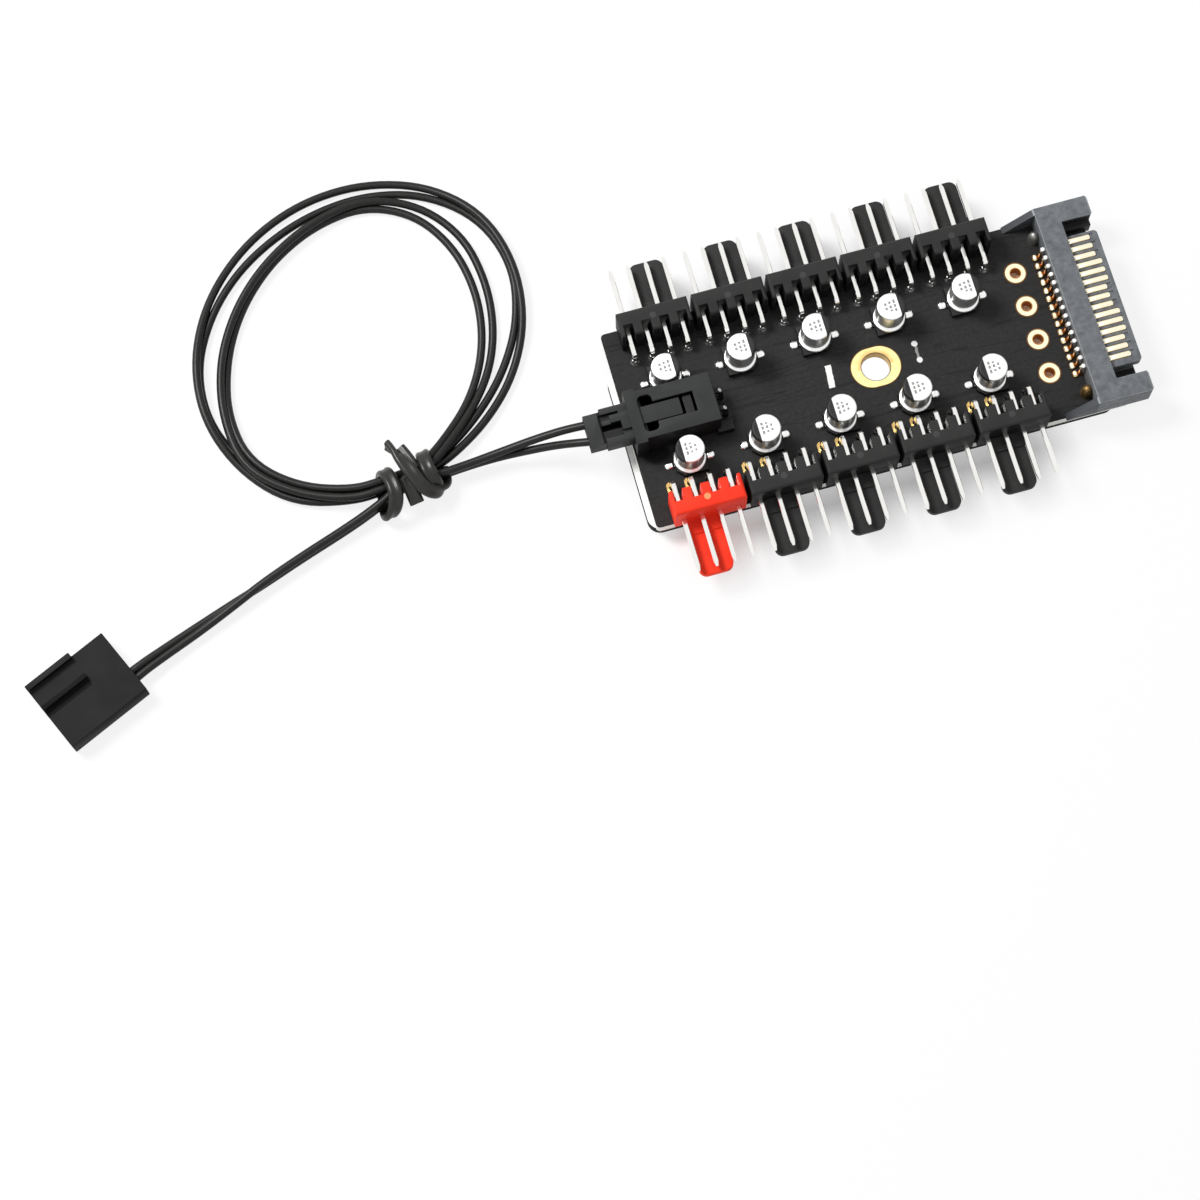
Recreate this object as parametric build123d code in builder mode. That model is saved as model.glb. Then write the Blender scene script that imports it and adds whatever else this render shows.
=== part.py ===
from build123d import *
import os
from math import cos, pi, radians, sin, tan

os.makedirs("parts", exist_ok=True)

# Driving dimensions, all in millimetres.
# The hub stands on its foam pad at z = 0, board along X, lead at the -X end, power inlet at +X.

# Circuit board and the foam pad stuck under it
board_length = 67.3
board_width = 29.0
board_thickness = 1.6
board_corner = 0.6
pad_thickness = 2.0
pad_width = 23.6
pad_inset = 0.3
pad_overhang = 0.75
pad_corner = 1.8
pad_hole_diameter = 7.5

# Screw hole with its oval gold land, and the row of plated test holes
screw_hole_at = (1.65, -0.3)
screw_hole_diameter = 4.0
screw_land_length = 7.1
screw_land_width = 5.9
screw_land_setback = 0.1
test_hole_setback = 4.35
test_hole_pitch = 5.08
test_hole_count = 4
test_hole_diameter = 1.4
test_land_diameter = 3.2
plating = 0.12
land_thickness = 0.06

# Fan headers: five along each long edge, four right-angle pins each
headers_per_row = 5
header_pitch = 10.68
header_row_x = -4.85
header_width = 10.05
header_depth = 3.6
header_height = 5.4
header_edge = 0.25
pins_per_header = 4
pin_pitch = 2.54
pin_size = 0.64
pin_height = 2.3
pin_reach = 7.4
pin_point = 0.18
pin_bend = 1.0
leg_setback = 5.5
leg_gap = 1.0
leg_hole_diameter = 1.0
leg_land_diameter = 1.9
pin_slot_width = 1.3
pin_slot_depth = 1.65
tab_pin_index = 1
tab_width = 4.8
tab_thickness = 1.05
tab_reach = 7.9
tab_corner = 1.1
tab_root_length = 2.0
tab_root_step = 0.3

# Electrolytic capacitors: one beside each header
cap_shift_x = -0.5
cap_back_gap = 0.15
cap_front_gap = 0.7
can_diameter = 4.0
cap_height = 5.4
can_crimp_depth = 0.25
can_crimp_height = 0.55
can_crimp_rise = 0.35
can_edge = 0.25
cap_base_side = 4.3
cap_base_thickness = 0.9
cap_base_chamfer = 0.9
cap_lead_span = 6.0
cap_lead_inner = 0.5
cap_lead_width = 0.65
cap_lead_thickness = 0.15
solder_diameter = 1.25
solder_height = 0.45

# Power inlet: fifteen contacts on a tongue between two guide arms
inlet_width = 29.6
inlet_shift_y = -0.1
inlet_height = 4.0
inlet_gap = 12.14
inlet_edge = 0.25
beam_depth = 3.2
arm_length = 4.5
arm_width = 2.85
tongue_slot = 1.95
tongue_shift_y = -0.2
tongue_top = 3.07
tongue_thickness = 1.3
tongue_corner = 0.6
key_ledge_width = 0.9
key_ledge_drop = 1.9
shelf_setback = 0.9
shelf_thickness = 0.8
gusset_length = 4.3
gusset_thickness = 1.0
contact_pitch = 1.27
contact_width = 0.84
contact_thickness = 0.2
contact_proud = 0.04
contact_center_y = 0.1
short_contact_end = 1.2
long_contact_end = 0.65
tail_gap = 0.1
tail_foot = 1.15
foot_land_length = 1.5
foot_land_width = 0.9
lock_gap = 0.85
lock_width = 2.4
lock_thickness = 0.3
lock_height = 1.6
lock_foot = 0.9

# Two-pin lead socket at the other end, and the plug latched into it
socket_length = 12.0
socket_width = 7.0
socket_height = 5.4
socket_gap = 7.2
socket_floor = 1.5
flange_width = 7.9
flange_height = 5.4
flange_depth = 1.6
socket_rear_wall = 2.6
socket_foot_reach = 1.75
socket_foot_width = 1.5
socket_foot_height = 1.4
socket_foot_out = 0.5
window_width = 2.9
window_notch_width = 5.2
window_notch_length = 2.0
window_notch_corner = 0.7
window_rear_margin = 0.2
lead_pitch = 2.54
lead_pin_height = 3.1
lead_pin_tip_depth = 2.4
lead_leg_setback = 1.2
plug_width = 5.2
plug_thickness = 2.9
plug_exposed = 6.05
plug_front_gap = 1.7
plug_shoulder_length = 2.3
plug_shoulder_inset = 0.3
plug_clearance = 0.1
latch_width = 2.4
latch_rise = 0.5
latch_back = 2.6
latch_front = 0.5
terminal_cavity = 1.6
terminal_clearance = 0.05
terminal_bore = 0.8
terminal_back_depth = 1.0
terminal_crimp_length = 1.5
terminal_front_margin = 0.4
plug_window_length = 2.7
plug_window_width = 0.95
plug_window_back = 2.1

# Four-way fan connector at the far end of the lead, two ways fitted
connector_at = (-108.75, -12.75)
connector_heading = 204.5
connector_length = 12.4
connector_width = 10.0
connector_thickness = 3.3
connector_edge = 0.3
rail_width = 0.8
rail_height = 1.0
rail_length = 7.3
rail_outer_overhang = 0.4
rail_inner_at = 3.9
way_count = 4
way_pitch = 2.54
fitted_way_count = 2
pin_entry = 1.1
connector_terminal_length = 8.0

# Lead wires: plug to tie, two loose turns, tie to fan connector
wire_diameter = 1.15
coil_height = 2.4
coil_outer_center = (-67.15, 23.9)
coil_outer_axes = (24.9, 21.5)
coil_outer_turn = 39
coil_inner_center = (-67.95, 22.3)
coil_inner_axes = (21.3, 16.7)
coil_inner_turn = 54
coil_edge = 0.5
neck_center = (-65.5, 0.85)
neck_turn = 12
neck_length = 13.0
neck_width = 2.5
wire_spacing = 1.25
neck_height = 2.3
neck_wire_height = 0.65
neck_run = 3.0
tail_run = 3.0
plug_run = 3.6
way_run = 3.4

# Twist tie: two loops round the bundle, twisted ends lying across them
tie_width = 2.0
tie_thickness = 0.85
tie_bore_width = 5.2
tie_bore_height = 2.4
tie_corner = 1.1
tie_turn = 14
tie_left_at = (-68.25, 0.95)
tie_right_at = (-62.95, 2.7)
tie_notch_clearance = 0.1
tie_long_end = ((-63.3, 0.3), (-67.1, 7.5))
tie_short_end = ((-65.1, 1.9), (-66.0, -1.5))

# Places worked out from the driving dimensions
board_top = pad_thickness + board_thickness
header_xs = [header_row_x + (i - (headers_per_row - 1) / 2) * header_pitch for i in range(headers_per_row)]
pin_xs = [(i - (pins_per_header - 1) / 2) * pin_pitch for i in range(pins_per_header)]
cap_back_row = socket_width / 2 + cap_back_gap + cap_base_side / 2
cap_front_row = socket_width / 2 + cap_front_gap + cap_base_side / 2
cap_places = [(x + cap_shift_x, y) for y in (cap_back_row, -cap_front_row) for x in header_xs]
leg_row = cap_front_row + cap_base_side / 2 + leg_gap
leg_places = [(x + dx, side * leg_row) for side in (1, -1) for x in header_xs for dx in pin_xs]
header_front = leg_row + leg_setback
header_back = header_front - header_depth
beam_back = header_xs[-1] + inlet_gap
beam_front = beam_back + beam_depth
inlet_end = beam_front + arm_length
board_x = (board_length / 2 - inlet_end) / 2
board_plane = Plane(origin=(board_x, 0, board_top))
test_places = [
    (beam_back - test_hole_setback, (i - (test_hole_count - 1) / 2) * test_hole_pitch)
    for i in range(test_hole_count)
]
tongue_width = inlet_width - 2 * arm_width - 2 * tongue_slot
contact_count = int(tongue_width / contact_pitch)
contact_ys = [
    contact_center_y + (i - (contact_count - 1) / 2) * contact_pitch for i in range(contact_count)
]
tail_x = beam_back - tail_gap - contact_thickness / 2
foot_x = tail_x - tail_foot
lock_reach = inlet_width / 2 - gusset_thickness - lock_gap - lock_width / 2
lock_ys = (inlet_shift_y + lock_reach, inlet_shift_y - lock_reach)
socket_mouth = header_xs[0] - socket_gap
socket_rear = socket_mouth + socket_length
cavity_end = socket_rear - socket_rear_wall
plug_front = cavity_end - plug_front_gap
plug_back = socket_mouth - plug_exposed
plug_bottom = socket_floor + plug_clearance
plug_top = plug_bottom + plug_thickness
lead_ys = (lead_pitch / 2, -lead_pitch / 2)
lead_leg_x = socket_rear + lead_leg_setback
cavity_width = plug_width + 2 * plug_clearance
cavity_top = plug_top + plug_clearance
latch_top = plug_top + latch_rise
terminal_size = terminal_cavity - 2 * terminal_clearance
terminal_back = plug_back + terminal_back_depth
terminal_front = plug_front - terminal_front_margin
tie_top = 2 * tie_thickness + tie_bore_height


def save(builder, name):
    """Label a finished piece and write it as its own file."""
    builder.part.label = name
    export_step(builder.part, f"parts/{name}.step")


def board_spot(x, y, turned=False):
    """Board-top plane at a component's place; turned components face the back edge."""
    return Plane(origin=(board_x + x, y, board_top), x_dir=(-1 if turned else 1, 0, 0))


def lengthwise_at(y):
    """Upright plane along the board at a distance from its middle line: X along the board, Y up."""
    return Plane(origin=(board_x, y, board_top), x_dir=(1, 0, 0), z_dir=(0, -1, 0))


def upright_at(plane, x):
    """Plane across a component: its X runs along the component's Y, its Y runs up."""
    return Plane(origin=plane.from_local_coords((x, 0, 0)), x_dir=plane.y_dir, z_dir=plane.x_dir)


# Circuit board, drilled for the screw, the test holes and every leg
with BuildPart() as circuit_board:
    with BuildSketch(board_plane.offset(-board_thickness)):
        RectangleRounded(board_length, board_width, board_corner)
        with Locations(screw_hole_at):
            Circle(screw_hole_diameter / 2, mode=Mode.SUBTRACT)
        with Locations(*test_places):
            Circle(test_hole_diameter / 2 + plating, mode=Mode.SUBTRACT)
        with Locations(*leg_places):
            Circle(leg_hole_diameter / 2, mode=Mode.SUBTRACT)
        with Locations(*[(lead_leg_x, y) for y in lead_ys]):
            Circle(leg_hole_diameter / 2, mode=Mode.SUBTRACT)
    extrude(amount=board_thickness)
save(circuit_board, "circuit_board")

# Foam pad, near the front edge and out past the lead end of the board, open round the screw hole
with BuildPart() as foam_pad:
    with BuildSketch(Plane(origin=(board_x, 0, 0))):
        with Locations((-pad_inset - pad_overhang, (pad_width - board_width) / 2 + pad_inset)):
            RectangleRounded(board_length - 2 * pad_inset, pad_width, pad_corner)
        with Locations(screw_hole_at):
            Circle(pad_hole_diameter / 2, mode=Mode.SUBTRACT)
    extrude(amount=pad_thickness)
save(foam_pad, "foam_pad")

# Gold lands: the oval round the screw hole, leg lands, contact lands, and the test holes with barrels
with BuildPart() as gold_lands:
    with BuildSketch(board_plane):
        with Locations(screw_hole_at):
            SlotOverall(screw_land_length, screw_land_width)
            Circle(screw_hole_diameter / 2 + screw_land_setback, mode=Mode.SUBTRACT)
        with Locations(*test_places):
            Circle(test_land_diameter / 2)
            Circle(test_hole_diameter / 2, mode=Mode.SUBTRACT)
        with Locations(*leg_places, *[(lead_leg_x, y) for y in lead_ys]):
            Circle(leg_land_diameter / 2)
            Circle(leg_hole_diameter / 2, mode=Mode.SUBTRACT)
        with Locations(*[(foot_x + tail_foot / 2, y) for y in contact_ys]):
            Rectangle(foot_land_length, foot_land_width)
    extrude(amount=land_thickness)
    with BuildSketch(board_plane):
        with Locations(*test_places):
            Circle(test_hole_diameter / 2 + plating)
            Circle(test_hole_diameter / 2, mode=Mode.SUBTRACT)
    extrude(amount=-board_thickness)
save(gold_lands, "gold_lands")

# Fan headers 01 to 05 along the front edge, 06 to 10 turned along the back edge
for number in range(2 * headers_per_row):
    turned = number >= headers_per_row
    spot = board_spot(header_xs[number % headers_per_row], 0, turned)
    tab_x = pin_xs[tab_pin_index]
    with BuildPart(spot) as fan_header:
        with Locations((0, -header_back, 0)):
            Box(header_width, header_depth, header_height, align=(Align.CENTER, Align.MAX, Align.MIN))
        chamfer(fan_header.faces().sort_by(Axis.Z)[-1].edges(), header_edge)
        with BuildSketch(spot) as tab_outline:
            with Locations((tab_x, -header_front)):
                Rectangle(tab_width, tab_reach, align=(Align.CENTER, Align.MAX))
            tip = tab_outline.vertices().sort_by(Axis.Y)
            fillet(tip[:2], tab_corner)
        extrude(amount=tab_thickness)
        with Locations((tab_x, -header_front, tab_thickness)):
            Box(tab_width, tab_root_length, tab_root_step, align=(Align.CENTER, Align.MAX, Align.MIN))
        with Locations(*[(x, -header_back, 0) for x in pin_xs]):
            Box(
                pin_slot_width,
                pin_slot_depth,
                header_height,
                align=(Align.CENTER, Align.MAX, Align.MIN),
                mode=Mode.SUBTRACT,
            )
        with Locations(*[(x, -header_back, pin_height) for x in pin_xs]):
            Box(
                pin_size,
                header_depth,
                pin_size,
                align=(Align.CENTER, Align.MAX, Align.CENTER),
                mode=Mode.SUBTRACT,
            )
    save(fan_header, f"fan_header_{number + 1:02d}")

    with BuildPart() as header_pins:
        with BuildSketch(*[upright_at(spot, x) for x in pin_xs]):
            with BuildLine():
                FilletPolyline(
                    (-header_front - pin_reach, pin_height),
                    (-leg_row, pin_height),
                    (-leg_row, -board_thickness),
                    radius=pin_bend,
                )
            trace(line_width=pin_size)
        extrude(amount=pin_size / 2, both=True)
        tips = header_pins.faces().group_by(Axis.Y)[-1 if turned else 0]
        chamfer(tips.edges(), pin_point)
    save(header_pins, f"fan_header_pins_{number + 1:02d}")

# Capacitors: an aluminium can crimped over its seal, standing on a moulded base
for number, (cap_x, cap_y) in enumerate(cap_places, start=1):
    spot = board_spot(cap_x, cap_y)
    can_radius = can_diameter / 2
    crimp_z = cap_base_thickness + can_crimp_height
    with BuildPart() as capacitor_can:
        with BuildSketch(Plane(origin=spot.origin, x_dir=(1, 0, 0), z_dir=(0, -1, 0))):
            with BuildLine():
                Polyline(
                    (0, cap_base_thickness),
                    (can_radius, cap_base_thickness),
                    (can_radius, crimp_z),
                    (can_radius - can_crimp_depth, crimp_z + can_crimp_rise),
                    (can_radius, crimp_z + 2 * can_crimp_rise),
                    (can_radius, cap_height - can_edge),
                    (can_radius - can_edge, cap_height),
                    (0, cap_height),
                    close=True,
                )
            make_face()
        revolve(axis=Axis(spot.origin, (0, 0, 1)))
    save(capacitor_can, f"capacitor_can_{number:02d}")

    with BuildPart(spot) as capacitor_base:
        with BuildSketch(spot) as base_outline:
            Rectangle(cap_base_side, cap_base_side)
            plus_end = base_outline.vertices().sort_by(Axis.X)
            chamfer(plus_end[-2:] if cap_y > 0 else plus_end[:2], cap_base_chamfer)
        extrude(amount=cap_base_thickness)
        Box(
            cap_base_side,
            cap_lead_width,
            cap_lead_thickness,
            align=(Align.CENTER, Align.CENTER, Align.MIN),
            mode=Mode.SUBTRACT,
        )
    save(capacitor_base, f"capacitor_base_{number:02d}")

# Capacitor leads, each ending in its solder
lead_length = cap_lead_span / 2 - cap_lead_inner
with BuildPart(board_plane) as capacitor_leads:
    with Locations(*[(x + cap_lead_inner, y, 0) for x, y in cap_places]):
        Box(lead_length, cap_lead_width, cap_lead_thickness, align=(Align.MIN, Align.CENTER, Align.MIN))
    with Locations(*[(x - cap_lead_inner, y, 0) for x, y in cap_places]):
        Box(lead_length, cap_lead_width, cap_lead_thickness, align=(Align.MAX, Align.CENTER, Align.MIN))
    with Locations(*[(x + side * cap_lead_span / 2, y, 0) for x, y in cap_places for side in (1, -1)]):
        Cone(
            solder_diameter / 2,
            solder_diameter / 4,
            solder_height,
            align=(Align.CENTER, Align.CENTER, Align.MIN),
        )
save(capacitor_leads, "capacitor_leads")

# Power inlet housing: rear beam, guide arms, a shelf between them, gussets to the board, and the contact tongue
inlet_sides = (inlet_shift_y + inlet_width / 2, inlet_shift_y - inlet_width / 2)
with BuildPart(board_plane) as inlet_housing:
    with Locations((beam_back, inlet_shift_y, 0)):
        Box(beam_depth, inlet_width, inlet_height, align=(Align.MIN, Align.CENTER, Align.MIN))
    with Locations((beam_front, inlet_sides[0], 0)):
        Box(arm_length, arm_width, inlet_height, align=(Align.MIN, Align.MAX, Align.MIN))
    with Locations((beam_front, inlet_sides[1], 0)):
        Box(arm_length, arm_width, inlet_height, align=(Align.MIN, Align.MIN, Align.MIN))
    chamfer(inlet_housing.faces().sort_by(Axis.X)[-2:].edges(), inlet_edge)
    with Locations((beam_front, inlet_sides[0] - arm_width, 0)):
        Box(
            arm_length - inlet_edge,
            key_ledge_width,
            inlet_height - key_ledge_drop,
            align=(Align.MIN, Align.MAX, Align.MIN),
        )
    with Locations((beam_front, inlet_shift_y, 0)):
        Box(
            arm_length - shelf_setback,
            inlet_width - 2 * arm_width,
            shelf_thickness,
            align=(Align.MIN, Align.CENTER, Align.MIN),
        )
    with BuildSketch(board_plane.offset(tongue_top - tongue_thickness)) as tongue_outline:
        with Locations((beam_front, tongue_shift_y)):
            Rectangle(arm_length, tongue_width, align=(Align.MIN, Align.CENTER))
        fillet(tongue_outline.vertices().sort_by(Axis.X)[-2:], tongue_corner)
    extrude(amount=tongue_thickness)
    for side, edge_y in zip((1, -1), inlet_sides):
        with BuildSketch(lengthwise_at(edge_y)):
            with BuildLine():
                Polyline((beam_back - gusset_length, 0), (beam_back, 0), (beam_back, inlet_height), close=True)
            make_face()
        extrude(amount=side * gusset_thickness)
    with Locations(*[(beam_back, y, tongue_top) for y in contact_ys]):
        Box(
            beam_depth + arm_length - long_contact_end,
            contact_width,
            contact_thickness,
            align=(Align.MIN, Align.CENTER, Align.MAX),
            mode=Mode.SUBTRACT,
        )
save(inlet_housing, "inlet_housing")

# Fifteen contacts: finger on the tongue, tail down behind the beam, foot on its land
with BuildPart() as inlet_contacts:
    for i, contact_y in enumerate(contact_ys):
        finger_end = inlet_end - (long_contact_end if (i // 3) % 2 else short_contact_end)
        finger_z = tongue_top - contact_thickness / 2
        foot_z = land_thickness + contact_thickness / 2
        with BuildSketch(lengthwise_at(contact_y)):
            with BuildLine():
                Polyline((finger_end, finger_z), (tail_x, finger_z), (tail_x, foot_z), (foot_x, foot_z))
            trace(line_width=contact_thickness)
            with Locations((beam_front, tongue_top)):
                Rectangle(finger_end - beam_front, contact_proud, align=(Align.MIN, Align.MIN))
        extrude(amount=contact_width / 2, both=True)
save(inlet_contacts, "inlet_contacts")

# Two solder straps that hold the inlet down at its ends
with BuildPart(board_plane) as inlet_straps:
    with Locations(*[(beam_back, y, 0) for y in lock_ys]):
        Box(lock_thickness, lock_width, lock_height, align=(Align.MAX, Align.CENTER, Align.MIN))
        Box(lock_foot, lock_width, lock_thickness, align=(Align.MAX, Align.CENTER, Align.MIN))
save(inlet_straps, "inlet_straps")

# Lead socket: flanged mouth, plug cavity, latch window in the roof
with BuildPart(board_plane) as lead_socket:
    with Locations((socket_mouth, 0, 0)):
        Box(socket_length, socket_width, socket_height, align=(Align.MIN, Align.CENTER, Align.MIN))
        Box(flange_depth, flange_width, flange_height, align=(Align.MIN, Align.CENTER, Align.MIN))
    with Locations((socket_rear + socket_foot_reach, -socket_width / 2 - socket_foot_out, 0)):
        Box(
            socket_foot_reach + socket_foot_out,
            socket_foot_width,
            socket_foot_height,
            align=(Align.MAX, Align.MIN, Align.MIN),
        )
    with Locations((socket_mouth, 0, socket_floor)):
        Box(
            cavity_end - socket_mouth,
            cavity_width,
            cavity_top - socket_floor,
            align=(Align.MIN, Align.CENTER, Align.MIN),
            mode=Mode.SUBTRACT,
        )
    with Locations((socket_mouth, 0, plug_top)):
        Box(
            flange_depth,
            latch_width + 2 * plug_clearance,
            latch_rise + plug_clearance,
            align=(Align.MIN, Align.CENTER, Align.MIN),
            mode=Mode.SUBTRACT,
        )
    with BuildSketch(board_plane.offset(socket_height)) as latch_window:
        with Locations((socket_mouth + flange_depth, 0)):
            Rectangle(
                cavity_end - window_rear_margin - socket_mouth - flange_depth,
                window_width,
                align=(Align.MIN, Align.CENTER),
            )
            Rectangle(window_notch_length, window_notch_width, align=(Align.MIN, Align.CENTER))
        by_y = latch_window.vertices().sort_by(Axis.Y)
        fillet(by_y[:2] + by_y[-2:], window_notch_corner)
    extrude(amount=cavity_top - socket_height, mode=Mode.SUBTRACT)
    with Locations(*[(socket_rear, y, lead_pin_height) for y in lead_ys]):
        Box(
            socket_rear_wall,
            pin_size,
            pin_size,
            align=(Align.MAX, Align.CENTER, Align.CENTER),
            mode=Mode.SUBTRACT,
        )
save(lead_socket, "lead_socket")

# Socket pins, bent down into the board behind the socket
with BuildPart() as lead_socket_pins:
    with BuildSketch(*[lengthwise_at(y) for y in lead_ys]):
        with BuildLine():
            FilletPolyline(
                (socket_mouth + lead_pin_tip_depth, lead_pin_height),
                (lead_leg_x, lead_pin_height),
                (lead_leg_x, -board_thickness),
                radius=pin_bend,
            )
        trace(line_width=pin_size)
    extrude(amount=pin_size / 2, both=True)
    chamfer(lead_socket_pins.faces().group_by(Axis.X)[0].edges(), pin_point)
save(lead_socket_pins, "lead_socket_pins")

# Plug body: stepped back end, latch on top, two terminal ways with windows
with BuildPart(board_plane) as lead_plug:
    with Locations((plug_back + plug_shoulder_length, 0, plug_bottom)):
        Box(
            plug_front - plug_back - plug_shoulder_length,
            plug_width,
            plug_thickness,
            align=(Align.MIN, Align.CENTER, Align.MIN),
        )
    with Locations((plug_back, 0, plug_bottom)):
        Box(
            plug_shoulder_length,
            plug_width - 2 * plug_shoulder_inset,
            plug_thickness - plug_shoulder_inset,
            align=(Align.MIN, Align.CENTER, Align.MIN),
        )
    with Locations((socket_mouth - latch_back, 0, plug_top)):
        Box(
            plug_front - latch_front - socket_mouth + latch_back,
            latch_width,
            latch_rise,
            align=(Align.MIN, Align.CENTER, Align.MIN),
        )
    with Locations(*[(plug_back, y, lead_pin_height) for y in lead_ys]):
        Box(
            plug_front - plug_back,
            terminal_cavity,
            terminal_cavity,
            align=(Align.MIN, Align.CENTER, Align.CENTER),
            mode=Mode.SUBTRACT,
        )
    with Locations(*[(plug_back + plug_window_back, y, plug_top) for y in lead_ys]):
        Box(
            plug_window_length,
            plug_window_width,
            plug_top - lead_pin_height,
            align=(Align.MIN, Align.CENTER, Align.MAX),
            mode=Mode.SUBTRACT,
        )
save(lead_plug, "lead_plug")

# Plug terminals: solid crimp behind, open box over the socket pin
with BuildPart(board_plane) as lead_plug_terminals:
    with Locations(*[(terminal_back, y, lead_pin_height) for y in lead_ys]):
        Box(
            terminal_front - terminal_back,
            terminal_size,
            terminal_size,
            align=(Align.MIN, Align.CENTER, Align.CENTER),
        )
    with Locations(*[(terminal_front, y, lead_pin_height) for y in lead_ys]):
        Box(
            terminal_front - terminal_back - terminal_crimp_length,
            terminal_bore,
            terminal_bore,
            align=(Align.MAX, Align.CENTER, Align.CENTER),
            mode=Mode.SUBTRACT,
        )
save(lead_plug_terminals, "lead_plug_terminals")

# Fan connector: its own plane has X from the wire end to the mating end
heading = radians(connector_heading)
connector_plane = Plane(
    origin=(connector_at[0], connector_at[1], 0),
    x_dir=(cos(heading), sin(heading), 0),
)
way_ys = [(i - (way_count - 1) / 2) * way_pitch for i in range(way_count)]
fitted_way_ys = way_ys[way_count - fitted_way_count :]
way_z = connector_thickness / 2
rail_start = connector_length - rail_length
with BuildPart(connector_plane) as fan_connector:
    Box(
        connector_length,
        connector_width,
        connector_thickness,
        align=(Align.MIN, Align.CENTER, Align.MIN),
    )
    with Locations((rail_start, -connector_width / 2 - rail_outer_overhang, connector_thickness - rail_height)):
        Box(rail_length, rail_width, 2 * rail_height, align=(Align.MIN, Align.MIN, Align.MIN))
    with Locations((rail_start, rail_inner_at - connector_width / 2, connector_thickness)):
        Box(rail_length, rail_width, rail_height, align=(Align.MIN, Align.MAX, Align.MIN))
    with Locations(*[(0, y, way_z) for y in way_ys]):
        Box(
            connector_length - terminal_back_depth,
            terminal_cavity,
            terminal_cavity,
            align=(Align.MIN, Align.CENTER, Align.CENTER),
            mode=Mode.SUBTRACT,
        )
        Box(
            connector_length,
            pin_entry,
            pin_entry,
            align=(Align.MIN, Align.CENTER, Align.CENTER),
            mode=Mode.SUBTRACT,
        )
save(fan_connector, "fan_connector")

# Terminals of the two ways that carry wires
with BuildPart(connector_plane) as fan_connector_terminals:
    with Locations(*[(terminal_back_depth, y, way_z) for y in fitted_way_ys]):
        Box(
            connector_terminal_length,
            terminal_size,
            terminal_size,
            align=(Align.MIN, Align.CENTER, Align.CENTER),
        )
    with Locations(*[(terminal_back_depth + connector_terminal_length, y, way_z) for y in fitted_way_ys]):
        Box(
            connector_terminal_length - terminal_crimp_length,
            terminal_bore,
            terminal_bore,
            align=(Align.MAX, Align.CENTER, Align.CENTER),
            mode=Mode.SUBTRACT,
        )
save(fan_connector_terminals, "fan_connector_terminals")

# Coil: the outer shape of the two loose turns, with the neck where lead and tail join the bundle
neck_plane = Plane(
    origin=(neck_center[0], neck_center[1], tie_thickness),
    x_dir=(cos(radians(neck_turn)), sin(radians(neck_turn)), 0),
)
with BuildPart() as wire_coil:
    with BuildSketch():
        with Locations(coil_outer_center):
            Ellipse(*coil_outer_axes, rotation=coil_outer_turn)
        with Locations(coil_inner_center):
            Ellipse(*coil_inner_axes, rotation=coil_inner_turn, mode=Mode.SUBTRACT)
    extrude(amount=coil_height)
    chamfer(wire_coil.faces().sort_by(Axis.Z)[-1].edges(), coil_edge)
    with BuildSketch(neck_plane):
        Rectangle(neck_length, neck_width)
    extrude(amount=neck_height)
    for loop_at in (tie_left_at, tie_right_at):
        with BuildSketch(Plane(origin=(loop_at[0], loop_at[1], 0))):
            Rectangle(
                tie_width + 2 * tie_notch_clearance,
                tie_bore_width + 2 * tie_thickness,
                rotation=tie_turn,
            )
        extrude(amount=tie_thickness + tie_notch_clearance, mode=Mode.SUBTRACT)
save(wire_coil, "wire_coil")

# Twist tie: two loops, the bar between them, and the two cut ends
tie_level = tie_thickness + tie_bore_height
with BuildPart() as twist_tie:
    for loop_at in (tie_left_at, tie_right_at):
        loop_plane = Plane(
            origin=(loop_at[0], loop_at[1], tie_top / 2),
            x_dir=(-sin(radians(tie_turn)), cos(radians(tie_turn)), 0),
            z_dir=(cos(radians(tie_turn)), sin(radians(tie_turn)), 0),
        )
        with BuildSketch(loop_plane):
            RectangleRounded(tie_bore_width + 2 * tie_thickness, tie_top, tie_corner)
            Rectangle(tie_bore_width, tie_bore_height, mode=Mode.SUBTRACT)
        extrude(amount=tie_width / 2, both=True)
    for level, run in (
        (tie_level, (tie_left_at, tie_right_at)),
        (tie_level, tie_short_end),
        (tie_top, tie_long_end),
    ):
        with BuildSketch(Plane.XY.offset(level)):
            with BuildLine():
                Line(*run)
            trace(line_width=tie_width)
        extrude(amount=tie_thickness)
save(twist_tie, "twist_tie")


def neck_point(end, side, reach=0):
    """Middle of a wire at an end face of the neck, or further out along the neck's axis."""
    along = end * (neck_length / 2 + reach)
    return neck_plane.from_local_coords((along, side * wire_spacing / 2, neck_wire_height))


def way_point(way_y, reach=0):
    """Where a connector way's wire meets its terminal, or further back along the way's axis."""
    return connector_plane.from_local_coords((terminal_back_depth - reach, way_y, way_z))


def plug_point(y, reach=0):
    """Where a plug way's wire meets its terminal, or further back along the way's axis."""
    return board_plane.from_local_coords((terminal_back - reach, y, lead_pin_height))


def corner_radii(points):
    """Largest easy bend at each corner of a wire's route."""
    radii = []
    for before, at, after in zip(points, points[1:], points[2:]):
        arriving = at - before
        leaving = after - at
        half_turn = radians(arriving.get_angle(leaving)) / 2
        radii.append(0.45 * min(arriving.length, leaving.length) / tan(half_turn))
    return radii


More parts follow.
